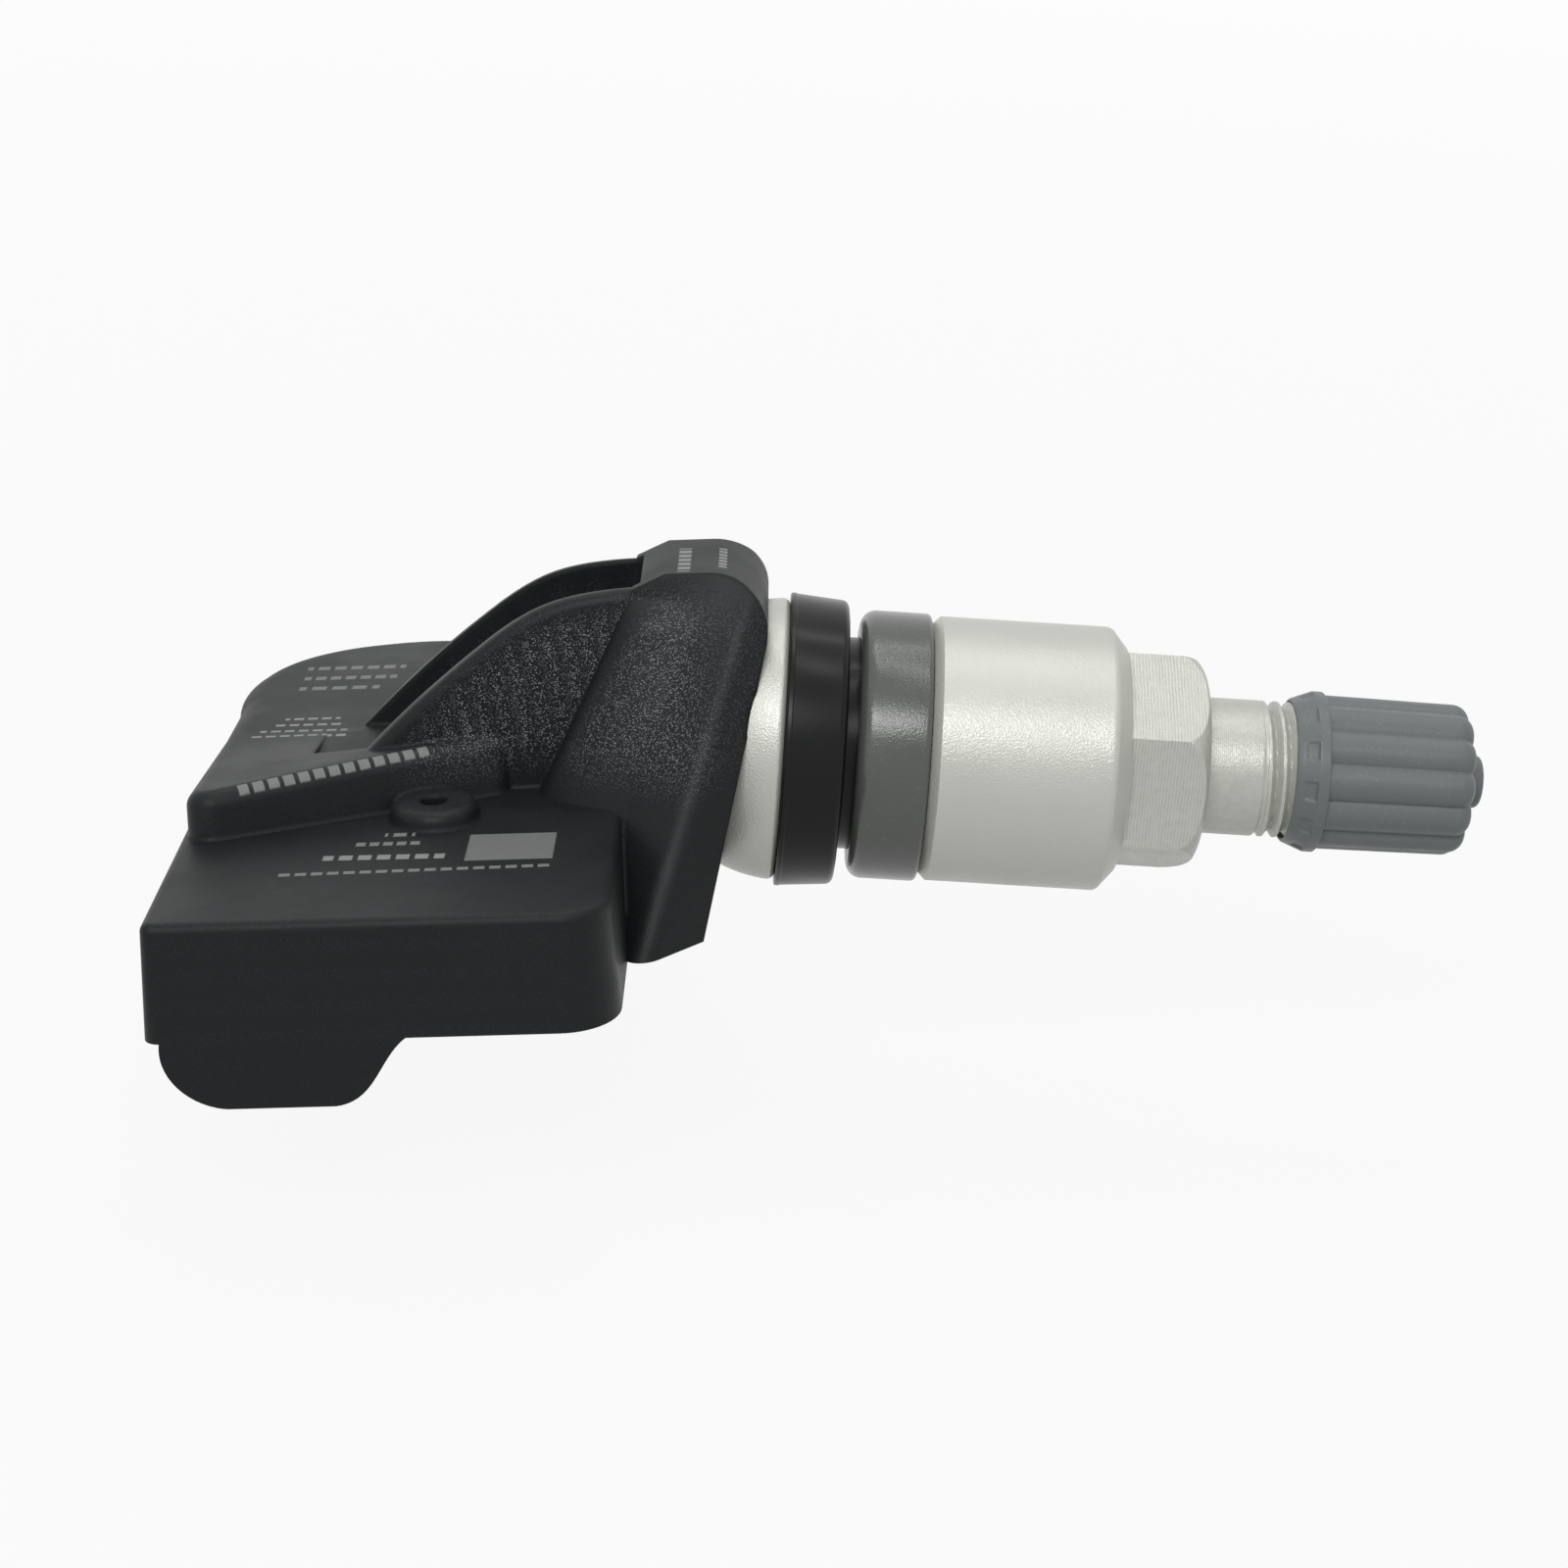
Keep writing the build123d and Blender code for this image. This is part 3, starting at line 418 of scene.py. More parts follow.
plainFinishes = {
    # base colour, patchy colour, metallic, IOR, roughness low and high, grain scale, grain height in mm
    "black_rubber": ((0.0055, 0.006, 0.0066), (0.0085, 0.0088, 0.0092), 0.0, 1.27, 0.24, 0.34, 6000, 0.004),
    "white_seal": ((0.72, 0.72, 0.7), (0.78, 0.78, 0.76), 0.0, 1.4, 0.35, 0.45, 5000, 0.004),
    "cell": ((0.55, 0.55, 0.54), (0.64, 0.64, 0.63), 0.8, 1.45, 0.25, 0.4, 7000, 0.003),
    "chip_plastic": ((0.03, 0.03, 0.032), (0.042, 0.042, 0.044), 0.0, 1.45, 0.5, 0.62, 7000, 0.006),
    "ferrite": ((0.05, 0.05, 0.052), (0.085, 0.083, 0.08), 0.2, 1.5, 0.5, 0.68, 5000, 0.01),
    "ceramic": ((0.48, 0.37, 0.25), (0.6, 0.48, 0.35), 0.0, 1.45, 0.35, 0.48, 6000, 0.005),
}
linedFinishes = {
    # base colour, groove colour, metallic, roughness low and high, line spacing in mm, line height in mm
    "brass": ((0.74, 0.53, 0.24), (0.58, 0.4, 0.17), 0.9, 0.22, 0.34, 0.09, 0.004),
    "steel": ((0.6, 0.6, 0.61), (0.46, 0.46, 0.47), 0.9, 0.24, 0.38, 0.07, 0.003),
    "copper_wire": ((0.62, 0.27, 0.1), (0.3, 0.1, 0.03), 0.7, 0.25, 0.4, 0.12, 0.03),
}
linedSet = {"ior": 1.45, "grainScale": 8000.0}


def makePlain(name, base, patchy, metallic, ior, smooth, rough, grainScale, grainHeight):
    material, nodes, links, shader = startMaterial(name, metallic, ior)
    grain = useGroup(nodes, "grain", Scale=grainScale)
    links.new(mixColour(nodes, links, grain.outputs["Patch"], base, patchy), shader.inputs["Base Color"])
    links.new(patchGloss(nodes, links, grain, smooth, rough), shader.inputs["Roughness"])
    addBump(nodes, links, shader, grain.outputs["Height"], grainHeight)
    return material


def makeLined(name, base, groove, metallic, smooth, rough, spacing, lineHeight):
    # turned or wound metal: tool lines in colour, gloss and height
    material, nodes, links, shader = startMaterial(name, metallic, linedSet["ior"])
    lines = useGroup(nodes, "lines", Spacing=spacing)
    grain = useGroup(nodes, "grain", Scale=linedSet["grainScale"])
    links.new(mixColour(nodes, links, lines.outputs["Tone"], base, groove), shader.inputs["Base Color"])
    links.new(patchGloss(nodes, links, grain, smooth, rough), shader.inputs["Roughness"])
    addBump(nodes, links, shader, lines.outputs["Height"], lineHeight)
    return material


# housing: charcoal moulded plastic with painted glints on the upper forms and plain printed bars

housingFinish = {
    "base": (0.0075, 0.0088, 0.0095),
    "patchy": (0.011, 0.0124, 0.013),
    # colour of the painted glints, which stand in for light glinting off the grain
    "speck": (0.46, 0.5, 0.56),
    "ior": 1.27,
    "smooth": 0.42,
    "rough": 0.52,
    "grainScale": 7500.0,
    "grainHeight": 0.016,       # mm
    "speckScale": 12000.0,
    "speckShare": 0.85,
    "speckLow": 0.03,           # strength of the painted glints on the lower box
    "softEdge": 0.4,            # mm of soft shading at edges and folds
    "softSamples": 6,
    "seam": (-5.6, -4.6),       # z on the housing where that soft shading sets in
    # where the painted glints are: low and high place in mm, then their strength at both
    "fromTail": (-24.0, -18.0, 0.0, 1.0),
    "toFront": (-7.5, -4.0, 1.0, 0.2),
    "fromBox": (-0.7, 2.6, 0.0, 1.0),
    "toTop": (8.6, 10.4, 1.0, 0.15),
    "fromMiddle": (3.0, 3.8, 0.12, 1.0),
    "fromCrest": (0.35, 1.7, 0.1, 1.0),
    "pastRidges": (-11.0, -9.0, 0.0, 1.0),
    # x and z of the ridges' top line
    "crest": [(-25.2, 0.4), (-22.0, 3.55), (-18.0, 6.85), (-14.0, 9.3), (-11.0, 9.95), (-7.5, 10.1)],
    "inkWear": (0.2, 0.5, 0.75, 1.0),   # grain height low and high, ink left at both
    "inkGloss": 0.12,           # roughness that the ink adds
    "inkFacing": (0.5, 0.7),    # how far up a face looks to be printed on
    "print": (0.34, 0.35, 0.34),
}
printBars = [
    # middle x and y on the housing, half length, half width, dash step in mm, turn in degrees, tone
    (-20.4, -16.15, 7.2, 0.2, 0.42, 1.5, 0.6),
    (-22.2, -14.15, 3.2, 0.34, 0.5, -1.0, 0.8),
    (-22.2, -12.2, 1.8, 0.26, 0.36, 0.0, 0.6),
    (-21.7, -10.9, 0.8, 0.26, 0.5, 0.0, 0.6),
    (-15.6, -13.1, 2.3, 1.9, 50.0, 0.0, 0.5),
    (-25.45, -7.7, 5.3, 0.32, 0.42, 23.0, 0.6),
    (-27.3, 16.2, 3.0, 0.36, 0.5, 0.0, 0.55),
    (-27.4, 14.0, 2.8, 0.36, 0.45, 0.0, 0.55),
    (-27.8, 11.8, 2.4, 0.36, 0.6, 0.0, 0.55),
    (-28.5, 5.4, 1.6, 0.2, 0.4, 0.0, 0.8),
    (-28.6, 4.2, 2.1, 0.2, 0.4, 0.0, 0.8),
    (-28.7, 3.0, 2.5, 0.2, 0.4, 0.0, 0.8),
    (-28.8, 1.8, 2.9, 0.2, 0.4, 0.0, 0.8),
    (-4.2, -0.3, 1.9, 0.22, 0.3, 90.0, 0.8),
    (-6.3, -0.7, 2.3, 0.34, 0.4, 90.0, 0.8),
]


def printMask(nodes, links, place):
    # all bars together, on faces that look up
    total = None
    for x, y, halfLength, halfWidth, dash, turn, tone in printBars:
        shift = nodes.new("ShaderNodeMapping")
        shift.vector_type = "TEXTURE"
        shift.inputs["Location"].default_value = (x, y, 0)
        shift.inputs["Rotation"].default_value = (0, 0, radians(turn))
        links.new(place, shift.inputs["Vector"])
        bar = useGroup(nodes, "bar", HalfLength=halfLength, HalfWidth=halfWidth, Dash=dash, Tone=tone)
        links.new(shift.outputs[0], bar.inputs["Place"])
        mask = bar.outputs["Mask"]
        total = mask if total is None else mathNode(nodes, links, "MAXIMUM", total, mask)
    facing = nodes.new("ShaderNodeSeparateXYZ")
    links.new(nodes.new("ShaderNodeNewGeometry").outputs["Normal"], facing.inputs[0])
    upward = rampNode(nodes, links, facing.outputs["Z"], *housingFinish["inkFacing"])
    return mathNode(nodes, links, "MULTIPLY", total, upward)


def belowCrest(nodes, links, parts):
    # mm below the ridges' top line: a curve over their length, scaled to 0..1 both ways, less the height
    line = housingFinish["crest"]
    start, end, top = line[0][0], line[-1][0], line[-1][1]
    curve = nodes.new("ShaderNodeFloatCurve")
    points = curve.mapping.curves[0].points
    points[0].location = (0, line[0][1] / top)
    points[1].location = (1, 1)
    for x, z in line[1:-1]:
        points.new((x - start) / (end - start), z / top)
    curve.mapping.update()
    along = mathNode(nodes, links, "SUBTRACT", parts.outputs["X"], start)
    links.new(mathNode(nodes, links, "DIVIDE", along, end - start), curve.inputs["Value"])
    crest = mathNode(nodes, links, "MULTIPLY", curve.outputs["Value"], top)
    return mathNode(nodes, links, "SUBTRACT", crest, parts.outputs["Z"])


def glintZone(nodes, links, parts):
    # strength of the painted glints: full on the ridges' and the head's sides, less at their rounded edges,
    # and left out where the cheek pads paint shade
    look = housingFinish
    x, y, z = (parts.outputs[axis] for axis in "XYZ")
    below = rampNode(nodes, links, belowCrest(nodes, links, parts), *look["fromCrest"])
    # painted shade from the cheek pads: their value per point leaves out glints along the valley and partly
    # over the pad
    calm = nodes.new("ShaderNodeAttribute")
    calm.attribute_name = "calm"
    upper = multiplyAll(
        nodes, links,
        rampNode(nodes, links, x, *look["fromTail"]),
        rampNode(nodes, links, z, *look["fromBox"]),
        rampNode(nodes, links, x, *look["toFront"]),
        rampNode(nodes, links, mathNode(nodes, links, "ABSOLUTE", y), *look["fromMiddle"]),
        mathNode(nodes, links, "MAXIMUM", below, rampNode(nodes, links, x, *look["pastRidges"])),
        rampNode(nodes, links, z, *look["toTop"]),
        mathNode(nodes, links, "SUBTRACT", 1.0, calm.outputs["Fac"]))
    return mathNode(nodes, links, "MAXIMUM", upper, look["speckLow"])


def makeHousingFinish(name, withPrint):
    look = housingFinish
    material, nodes, links, shader = startMaterial(name, 0.0, look["ior"])
    place = useGroup(nodes, "bodyPlace").outputs["Place"]
    parts = nodes.new("ShaderNodeSeparateXYZ")
    links.new(place, parts.inputs[0])
    grain = useGroup(nodes, "grain", Scale=look["grainScale"])
    specks = useGroup(nodes, "specks", Scale=look["speckScale"], Share=look["speckShare"])
    # painted glints: bright spots, strongest on the ridges' and the head's sides, mixed into the colour below
    lit = mathNode(nodes, links, "MULTIPLY", specks.outputs["Glint"], glintZone(nodes, links, parts))
    colour = mixColour(nodes, links, grain.outputs["Patch"], look["base"], look["patchy"])
    colour = mixColour(nodes, links, lit, colour, look["speck"])
    gloss = patchGloss(nodes, links, grain, look["smooth"], look["rough"])
    if withPrint:
        ink = mathNode(nodes, links, "MULTIPLY", printMask(nodes, links, place),
                       rampNode(nodes, links, grain.outputs["Height"], *look["inkWear"]))
        colour = mixColour(nodes, links, ink, colour, look["print"])
        gloss = mathNode(nodes, links, "MULTIPLY_ADD", ink, look["inkGloss"], gloss)
    links.new(colour, shader.inputs["Base Color"])
    links.new(gloss, shader.inputs["Roughness"])
    # soft edges above the seam with the cover, which stays unseen
    soft = nodes.new("ShaderNodeBevel")
    soft.samples = look["softSamples"]
    soft.inputs["Radius"].default_value = look["softEdge"] * mm
    choose = nodes.new("ShaderNodeMix")
    choose.data_type = "VECTOR"
    links.new(rampNode(nodes, links, parts.outputs["Z"], *look["seam"]), choose.inputs["Factor"])
    links.new(nodes.new("ShaderNodeNewGeometry").outputs["Normal"], choose.inputs["A"])
    links.new(soft.outputs["Normal"], choose.inputs["B"])
    addBump(nodes, links, shader, grain.outputs["Height"], look["grainHeight"],
            under=choose.outputs["Result"])
    return material


# valve metal: matt anodised aluminium, blasted on the round parts and with tool lines where it is milled

metalFinish = {
    "base": (0.53, 0.535, 0.49),
    "patchy": (0.57, 0.575, 0.53),
    "groove": (0.36, 0.365, 0.33),
    "metallic": 0.3,
    "ior": 1.35,
    "smooth": 0.3,
    "rough": 0.38,
    "grainScale": 9000.0,
    "patchScale": 260.0,
    "grainHeight": 0.03,        # mm
    "lineWaver": 0.5,
    "lineFade": 0.05,           # mm over which the tool lines set in
}
toolMarks = {
    # mm along the valve where the lines start, their spacing and height in mm
    "anodisedMetal": (15.7, 0.175, 0.006),
    "turnedStem": (10.0, 0.11, 0.003),
}


def makeMetalFinish(name, lineStart, spacing, lineHeight):
    look = metalFinish
    material, nodes, links, shader = startMaterial(name, look["metallic"], look["ior"])
    parts = nodes.new("ShaderNodeSeparateXYZ")
    links.new(objectPlace(nodes), parts.inputs[0])
    lined = rampNode(nodes, links, parts.outputs["X"], (lineStart - look["lineFade"]) * mm,
                     (lineStart + look["lineFade"]) * mm)
    grain = useGroup(nodes, "grain", Scale=look["grainScale"], PatchScale=look["patchScale"])
    lines = useGroup(nodes, "lines", Spacing=spacing, Waver=look["lineWaver"])
    colour = mixColour(nodes, links, grain.outputs["Patch"], look["base"], look["patchy"])
    tone = mathNode(nodes, links, "MULTIPLY", lines.outputs["Tone"], lined)
    links.new(mixColour(nodes, links, tone, colour, look["groove"]), shader.inputs["Base Color"])
    links.new(patchGloss(nodes, links, grain, look["smooth"], look["rough"]), shader.inputs["Roughness"])
    blasted = addBump(nodes, links, shader, grain.outputs["Height"], look["grainHeight"])
    milled = mathNode(nodes, links, "MULTIPLY", lines.outputs["Height"], lined)
    addBump(nodes, links, shader, milled, lineHeight, under=blasted)
    return material


# spacer ring and cap: moulded plastic with a fine grain and faint painted glints

mouldedFinishes = {
    # base, patchy, painted glint colour, IOR, roughness low and high, grain scale, grain height in mm,
    # painted glint share
    "grey_plastic": ((0.08, 0.087, 0.08), (0.092, 0.099, 0.091), (0.17, 0.18, 0.17), 1.5, 0.18, 0.24, 8000.0,
                     0.014, 0.1),
    "cap_plastic": ((0.136, 0.152, 0.154), (0.162, 0.178, 0.18), (0.27, 0.29, 0.29), 1.38, 0.34, 0.46, 6500.0,
                    0.012, 0.1),
}
mouldedScales = {"patch": 420.0, "speck": 9000.0}


def makeMoulded(name, base, patchy, glintColour, ior, smooth, rough, grainScale, grainHeight, speckShare):
    material, nodes, links, shader = startMaterial(name, 0.0, ior)
    grain = useGroup(nodes, "grain", Scale=grainScale, PatchScale=mouldedScales["patch"])
    specks = useGroup(nodes, "specks", Scale=mouldedScales["speck"], Share=speckShare)
    colour = mixColour(nodes, links, grain.outputs["Patch"], base, patchy)
    # painted glints: faint bright spots mixed into the colour
    colour = mixColour(nodes, links, specks.outputs["Glint"], colour, glintColour)
    links.new(colour, shader.inputs["Base Color"])
    links.new(patchGloss(nodes, links, grain, smooth, rough), shader.inputs["Roughness"])
    addBump(nodes, links, shader, grain.outputs["Height"], grainHeight)
    return material


# circuit board: green lacquer over copper tracks

boardFinish = {
    "lacquer": (0.012, 0.12, 0.045), "track": (0.03, 0.2, 0.075), "brickScale": 0.35, "trackWidth": 0.06,
    "trackHeight": 0.02,        # mm
    "ior": 1.5, "smooth": 0.25, "rough": 0.4, "grainScale": 7000.0,
}


def makeBoardFinish(name):
    look = boardFinish
    material, nodes, links, shader = startMaterial(name, 0.0, look["ior"])
    place = useGroup(nodes, "bodyPlace").outputs["Place"]
    bricks = nodes.new("ShaderNodeTexBrick")
    bricks.inputs["Scale"].default_value = look["brickScale"]
    bricks.inputs["Mortar Size"].default_value = look["trackWidth"]
    links.new(place, bricks.inputs["Vector"])
    grain = useGroup(nodes, "grain", Scale=look["grainScale"])
    colour = mixColour(nodes, links, bricks.outputs["Fac"], look["lacquer"], look["track"])
    links.new(colour, shader.inputs["Base Color"])
    links.new(patchGloss(nodes, links, grain, look["smooth"], look["rough"]), shader.inputs["Roughness"])
    addBump(nodes, links, shader, bricks.outputs["Fac"], look["trackHeight"])
    return material


materials = {name: makePlain(name, *values) for name, values in plainFinishes.items()}
materials.update({name: makeLined(name, *values) for name, values in linedFinishes.items()})
materials.update({name: makeMoulded(name, *values) for name, values in mouldedFinishes.items()})
materials["black_plastic"] = makeHousingFinish("coverPlastic", False)
materials["anodised_metal"] = makeMetalFinish("anodisedMetal", *toolMarks["anodisedMetal"])
materials["board"] = makeBoardFinish("lacqueredBoard")
housingMaterial = makeHousingFinish("housingPlastic", True)
stemMaterial = makeMetalFinish("turnedStem", *toolMarks["turnedStem"])
for part in frame["record"]["subparts"]:
    node = frame["nodes"][part["node"]]
    node.data.materials.clear()
    node.data.materials.append(materials[part["material_slot"]])
print("finishes ready:", len(materials))

# mesh helpers

joinGap = {"copy": 0.001, "grid": 0.0005}       # mm between points that become one
skinSet = {"flatWeight": 90, "sharpAngle": 32}  # pull of large faces on the normals, degrees


def finishPiece(piece, body, nodeName, material, sharpAngle):
    # smooth but for edges sharper than the angle, with one material, in place of its CAD node
    piece.data.shade_smooth()
    piece.data.set_sharp_from_angle(angle=radians(sharpAngle))
    piece.data.materials.clear()
    piece.data.materials.append(material)
    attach(piece, body)
    if nodeName:
        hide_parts(nodeName)
    print(piece.name, "faces:", len(piece.data.polygons))


def smoothCopy(nodeName, name):
    # copy of a CAD node with its loose triangles joined, and normals weighted by area so flats stay flat
    mesh = frame["nodes"][nodeName].data.copy()
    mesh.name = name
    work = bmesh.new()
    work.from_mesh(mesh)
    bmesh.ops.remove_doubles(work, verts=work.verts, dist=joinGap["copy"] * mm)
    work.to_mesh(mesh)
    work.free()
    if "custom_normal" in mesh.attributes:
        mesh.attributes.remove(mesh.attributes["custom_normal"])
    piece = bpy.data.objects.new(name, mesh)
    bpy.context.scene.collection.objects.link(piece)
    even = piece.modifiers.new("evenNormals", "WEIGHTED_NORMAL")
    even.keep_sharp = True
    even.weight = skinSet["flatWeight"]
    return piece


def gridPiece(name, points, closedLoop, shade=None):
    # quads over a grid of points in mm: columns go round and close, rows close too for a loop;
    # shade names one value per point for its material
    rows, columns = points.shape[:2]
    a, b = np.meshgrid(np.arange(rows if closedLoop else rows - 1), np.arange(columns), indexing="ij")
    nextA, nextB = (a + 1) % rows, (b + 1) % columns
    faces = np.stack([a * columns + b, nextA * columns + b, nextA * columns + nextB, a * columns + nextB], -1)
    mesh = bpy.data.meshes.new(name)
    mesh.from_pydata((points.reshape(-1, 3) * mm).tolist(), [], faces.reshape(-1, 4).tolist())
    if shade is not None:
        values = mesh.attributes.new(shade[0], "FLOAT", "POINT").data
        values.foreach_set("value", shade[1].ravel().astype(np.float32))
    work = bmesh.new()
    work.from_mesh(mesh)
    bmesh.ops.remove_doubles(work, verts=work.verts, dist=joinGap["grid"] * mm)
    bmesh.ops.recalc_face_normals(work, faces=work.faces)
    work.to_mesh(mesh)
    work.free()
    piece = bpy.data.objects.new(name, mesh)
    bpy.context.scene.collection.objects.link(piece)
    return piece


def fullTurn(steps):
    # one row of angles all the way round
    return np.linspace(0, 2 * np.pi, steps, endpoint=False)[None, :]


def turned(x, r, angle):
    # points about the valve's axis: x, -r cos a, r sin a, so a runs from the near side upwards
    x, r, angle = np.broadcast_arrays(x, r, angle)
    return np.stack([x, -r * np.cos(angle), r * np.sin(angle)], -1)


def roundedLoop(corners, steps=7):
    # closed outline of (x, r, round): each corner becomes an arc of its round, tangent to both sides
    corner = np.array(corners, float)
    point, radius = corner[:, :2], corner[:, 2:]
    back = np.roll(point, 1, 0) - point
    ahead = np.roll(point, -1, 0) - point
    back /= np.linalg.norm(back, axis=1, keepdims=True)
    ahead /= np.linalg.norm(ahead, axis=1, keepdims=True)
    half = np.arccos(np.clip((back * ahead).sum(1, keepdims=True), -1, 1)) / 2
    middle = back + ahead
    centre = point + middle / np.linalg.norm(middle, axis=1, keepdims=True) * radius / np.sin(half)
    start = point + back * radius / np.tan(half) - centre
    end = point + ahead * radius / np.tan(half) - centre
    sweep = np.pi - 2 * half
    t = np.linspace(0, 1, steps)[None, :, None]
    arc = (np.sin((1 - t) * sweep[:, None]) * start[:, None] + np.sin(t * sweep[:, None]) * end[:, None]) \
        / np.sin(sweep)[:, None]
    return (centre[:, None] + arc).reshape(-1, 2)


def easeStep(value, low, high):
    # 0 below low, 1 above high, eased between
    t = np.clip((value - low) / (high - low), 0, 1)
    return t * t * (3 - 2 * t)


# housing and cover: the CAD forms with joined faces

housingSkin = smoothCopy("housing_shell", "housingSkin")
finishPiece(housingSkin, "housing", "housing_shell", housingMaterial, skinSet["sharpAngle"])
coverSkin = smoothCopy("base_cover", "coverSkin")
finishPiece(coverSkin, "housing", "base_cover", materials["black_plastic"],
            skinSet["sharpAngle"])

# cheek pads: the head's sides stand a little proud of the ridges, with a rounded edge towards them

padSet = {
    # corners of the head's near side, on the housing
    "lowLeft": (-17.7, -4.95, -7.05), "lowRight": (-9.0, -15.4, -7.05),
    "topLeft": (-8.7, -3.4, 10.95), "topRight": (-2.2, -3.5, 10.95),
    "right": 0.74, "foot": 0.05, "top": 0.95,   # shares of the face that the pad covers
    "rise": 0.8, "edgeRound": 1.4, "sunk": 0.06, "back": 0.4,
    "crowd": 1.6, "pinch": 0.3,                 # closeness of points to the left edge, roundness of both ends
    # shares of the pad where it flattens
    "fadeRight": (0.25, 0.95), "fadeFoot": (0, 0.12), "fadeTop": (0.86, 1.0),
    "calmStart": 0.5, "calmEnd": 2.8,           # mm from the left edge where the painted glints set in; nearer the edge they are left out as painted shade in the valley
    "calmFace": 0.45,                           # share of them left out past it, as painted shade over the pad
    "rows": 81, "sharpAngle": 60,
}


def makePad(name, side):
    # ruled face between the head's foot and top, lifted by a quarter ellipse that fades towards the right
    look = padSet
    across = np.linspace(0, 1, look["rows"])[None, :, None] ** look["crowd"]
    along = np.linspace(0, 1, look["rows"])[:, None, None]
    u = look["right"] * across
    v = look["foot"] + (look["top"] - look["foot"]) * along
    corner = {key: np.array(look[key]) for key in ("lowLeft", "lowRight", "topLeft", "topRight")}
    face = (1 - v) * ((1 - u) * corner["lowLeft"] + u * corner["lowRight"]) \
        + v * ((1 - u) * corner["topLeft"] + u * corner["topRight"])
    normal = np.cross(np.gradient(face, axis=1), np.gradient(face, axis=0))
    normal /= np.linalg.norm(normal, axis=2, keepdims=True)
    width = np.linalg.norm(face[:, -1:] - face[:, :1], axis=2, keepdims=True)
    quarter = np.sqrt(1 - (1 - np.clip(across * width / look["edgeRound"], 0, 1)) ** 2)
    fade = (1 - easeStep(across, *look["fadeRight"])) * easeStep(along, *look["fadeFoot"]) \
        * (1 - easeStep(along, *look["fadeTop"]))
    ends = np.sin(np.pi * along) ** look["pinch"]
    front = face + normal * ends * (look["rise"] * quarter * fade - look["sunk"])
    back = face - normal * ends * look["back"]
    loop = np.concatenate([front, back[:, ::-1]], axis=1)
    turn = radians(housingPlace["lean"])
    x, y, z = loop[..., 0], loop[..., 1] * side, loop[..., 2]
    placeX = housingPlace["datum"] + x * cos(turn) - z * sin(turn)
    place = np.stack([placeX, y, x * sin(turn) + z * cos(turn)], -1)
    # painted shade: near the left edge, and partly over the rest of the pad, the glints are left out so the
    # valley and cheek read darker
    shade = 1 - easeStep((across * width)[..., 0], look["calmStart"], look["calmEnd"])
    shade = np.maximum(shade, look["calmFace"] * (1 - across[..., 0]))
    return gridPiece(name, place, False, ("calm", np.concatenate([shade, shade[:, ::-1]], axis=1)))


for padName, padSide in (("cheekPadNear", 1), ("cheekPadFar", -1)):
    finishPiece(makePad(padName, padSide), "housing", None, housingMaterial,
                padSet["sharpAngle"])
print("housing ready")

# valve stem: half ball, shank and a right-hand thread cut into its end

stemSet = {
    "ballX": -3.1, "ballR": 7.95, "ballEnd": -3.3, "ballRound": 0.4, "brimLead": 0.05,
    "boltHoleR": 1.81, "boltHoleEnd": -4.65, "boreR": 1.3,
    "shankR": 4.5, "shankEnd": 10.2, "shankBevel": 0.5, "stemR": 3.84, "tip": 33.2, "tipBevel": 0.6,
    "coreMouthR": 2.7, "mouthWall": 0.2, "coreConeEnd": 28.6, "coreConeStart": 27.0, "coreBoreR": 2.2,
    "coreBoreStart": 17.0,
    "threadStart": 23.35, "threadLead": 0.05, "threadRunIn": 0.5,
    "threadPitch": 0.794, "threadDepth": 0.42, "threadCrest": 0.22,
    "domeRows": 40, "brimRows": 9, "threadRows": 230, "sides": 144, "sharpAngle": 28,
}


def stemThread(x, r, angle):
    # V groove that winds up the stem: phase = x / pitch + a / 2 pi, deepest at half a turn
    look = stemSet
    phase = (x / look["threadPitch"] + angle / (2 * np.pi)) % 1
    valley = 1 - np.abs(2 * phase - 1)
    groove = np.clip((valley - look["threadCrest"]) / (1 - look["threadCrest"]), 0, 1)
    onThread = easeStep(x, look["threadStart"], look["threadStart"] + look["threadRunIn"])
    floor = look["stemR"] - look["threadDepth"] * groove * onThread
    outside = (r > look["coreMouthR"] + look["mouthWall"]) & (x > look["threadStart"])
    return np.where(outside, np.minimum(r, floor), r)


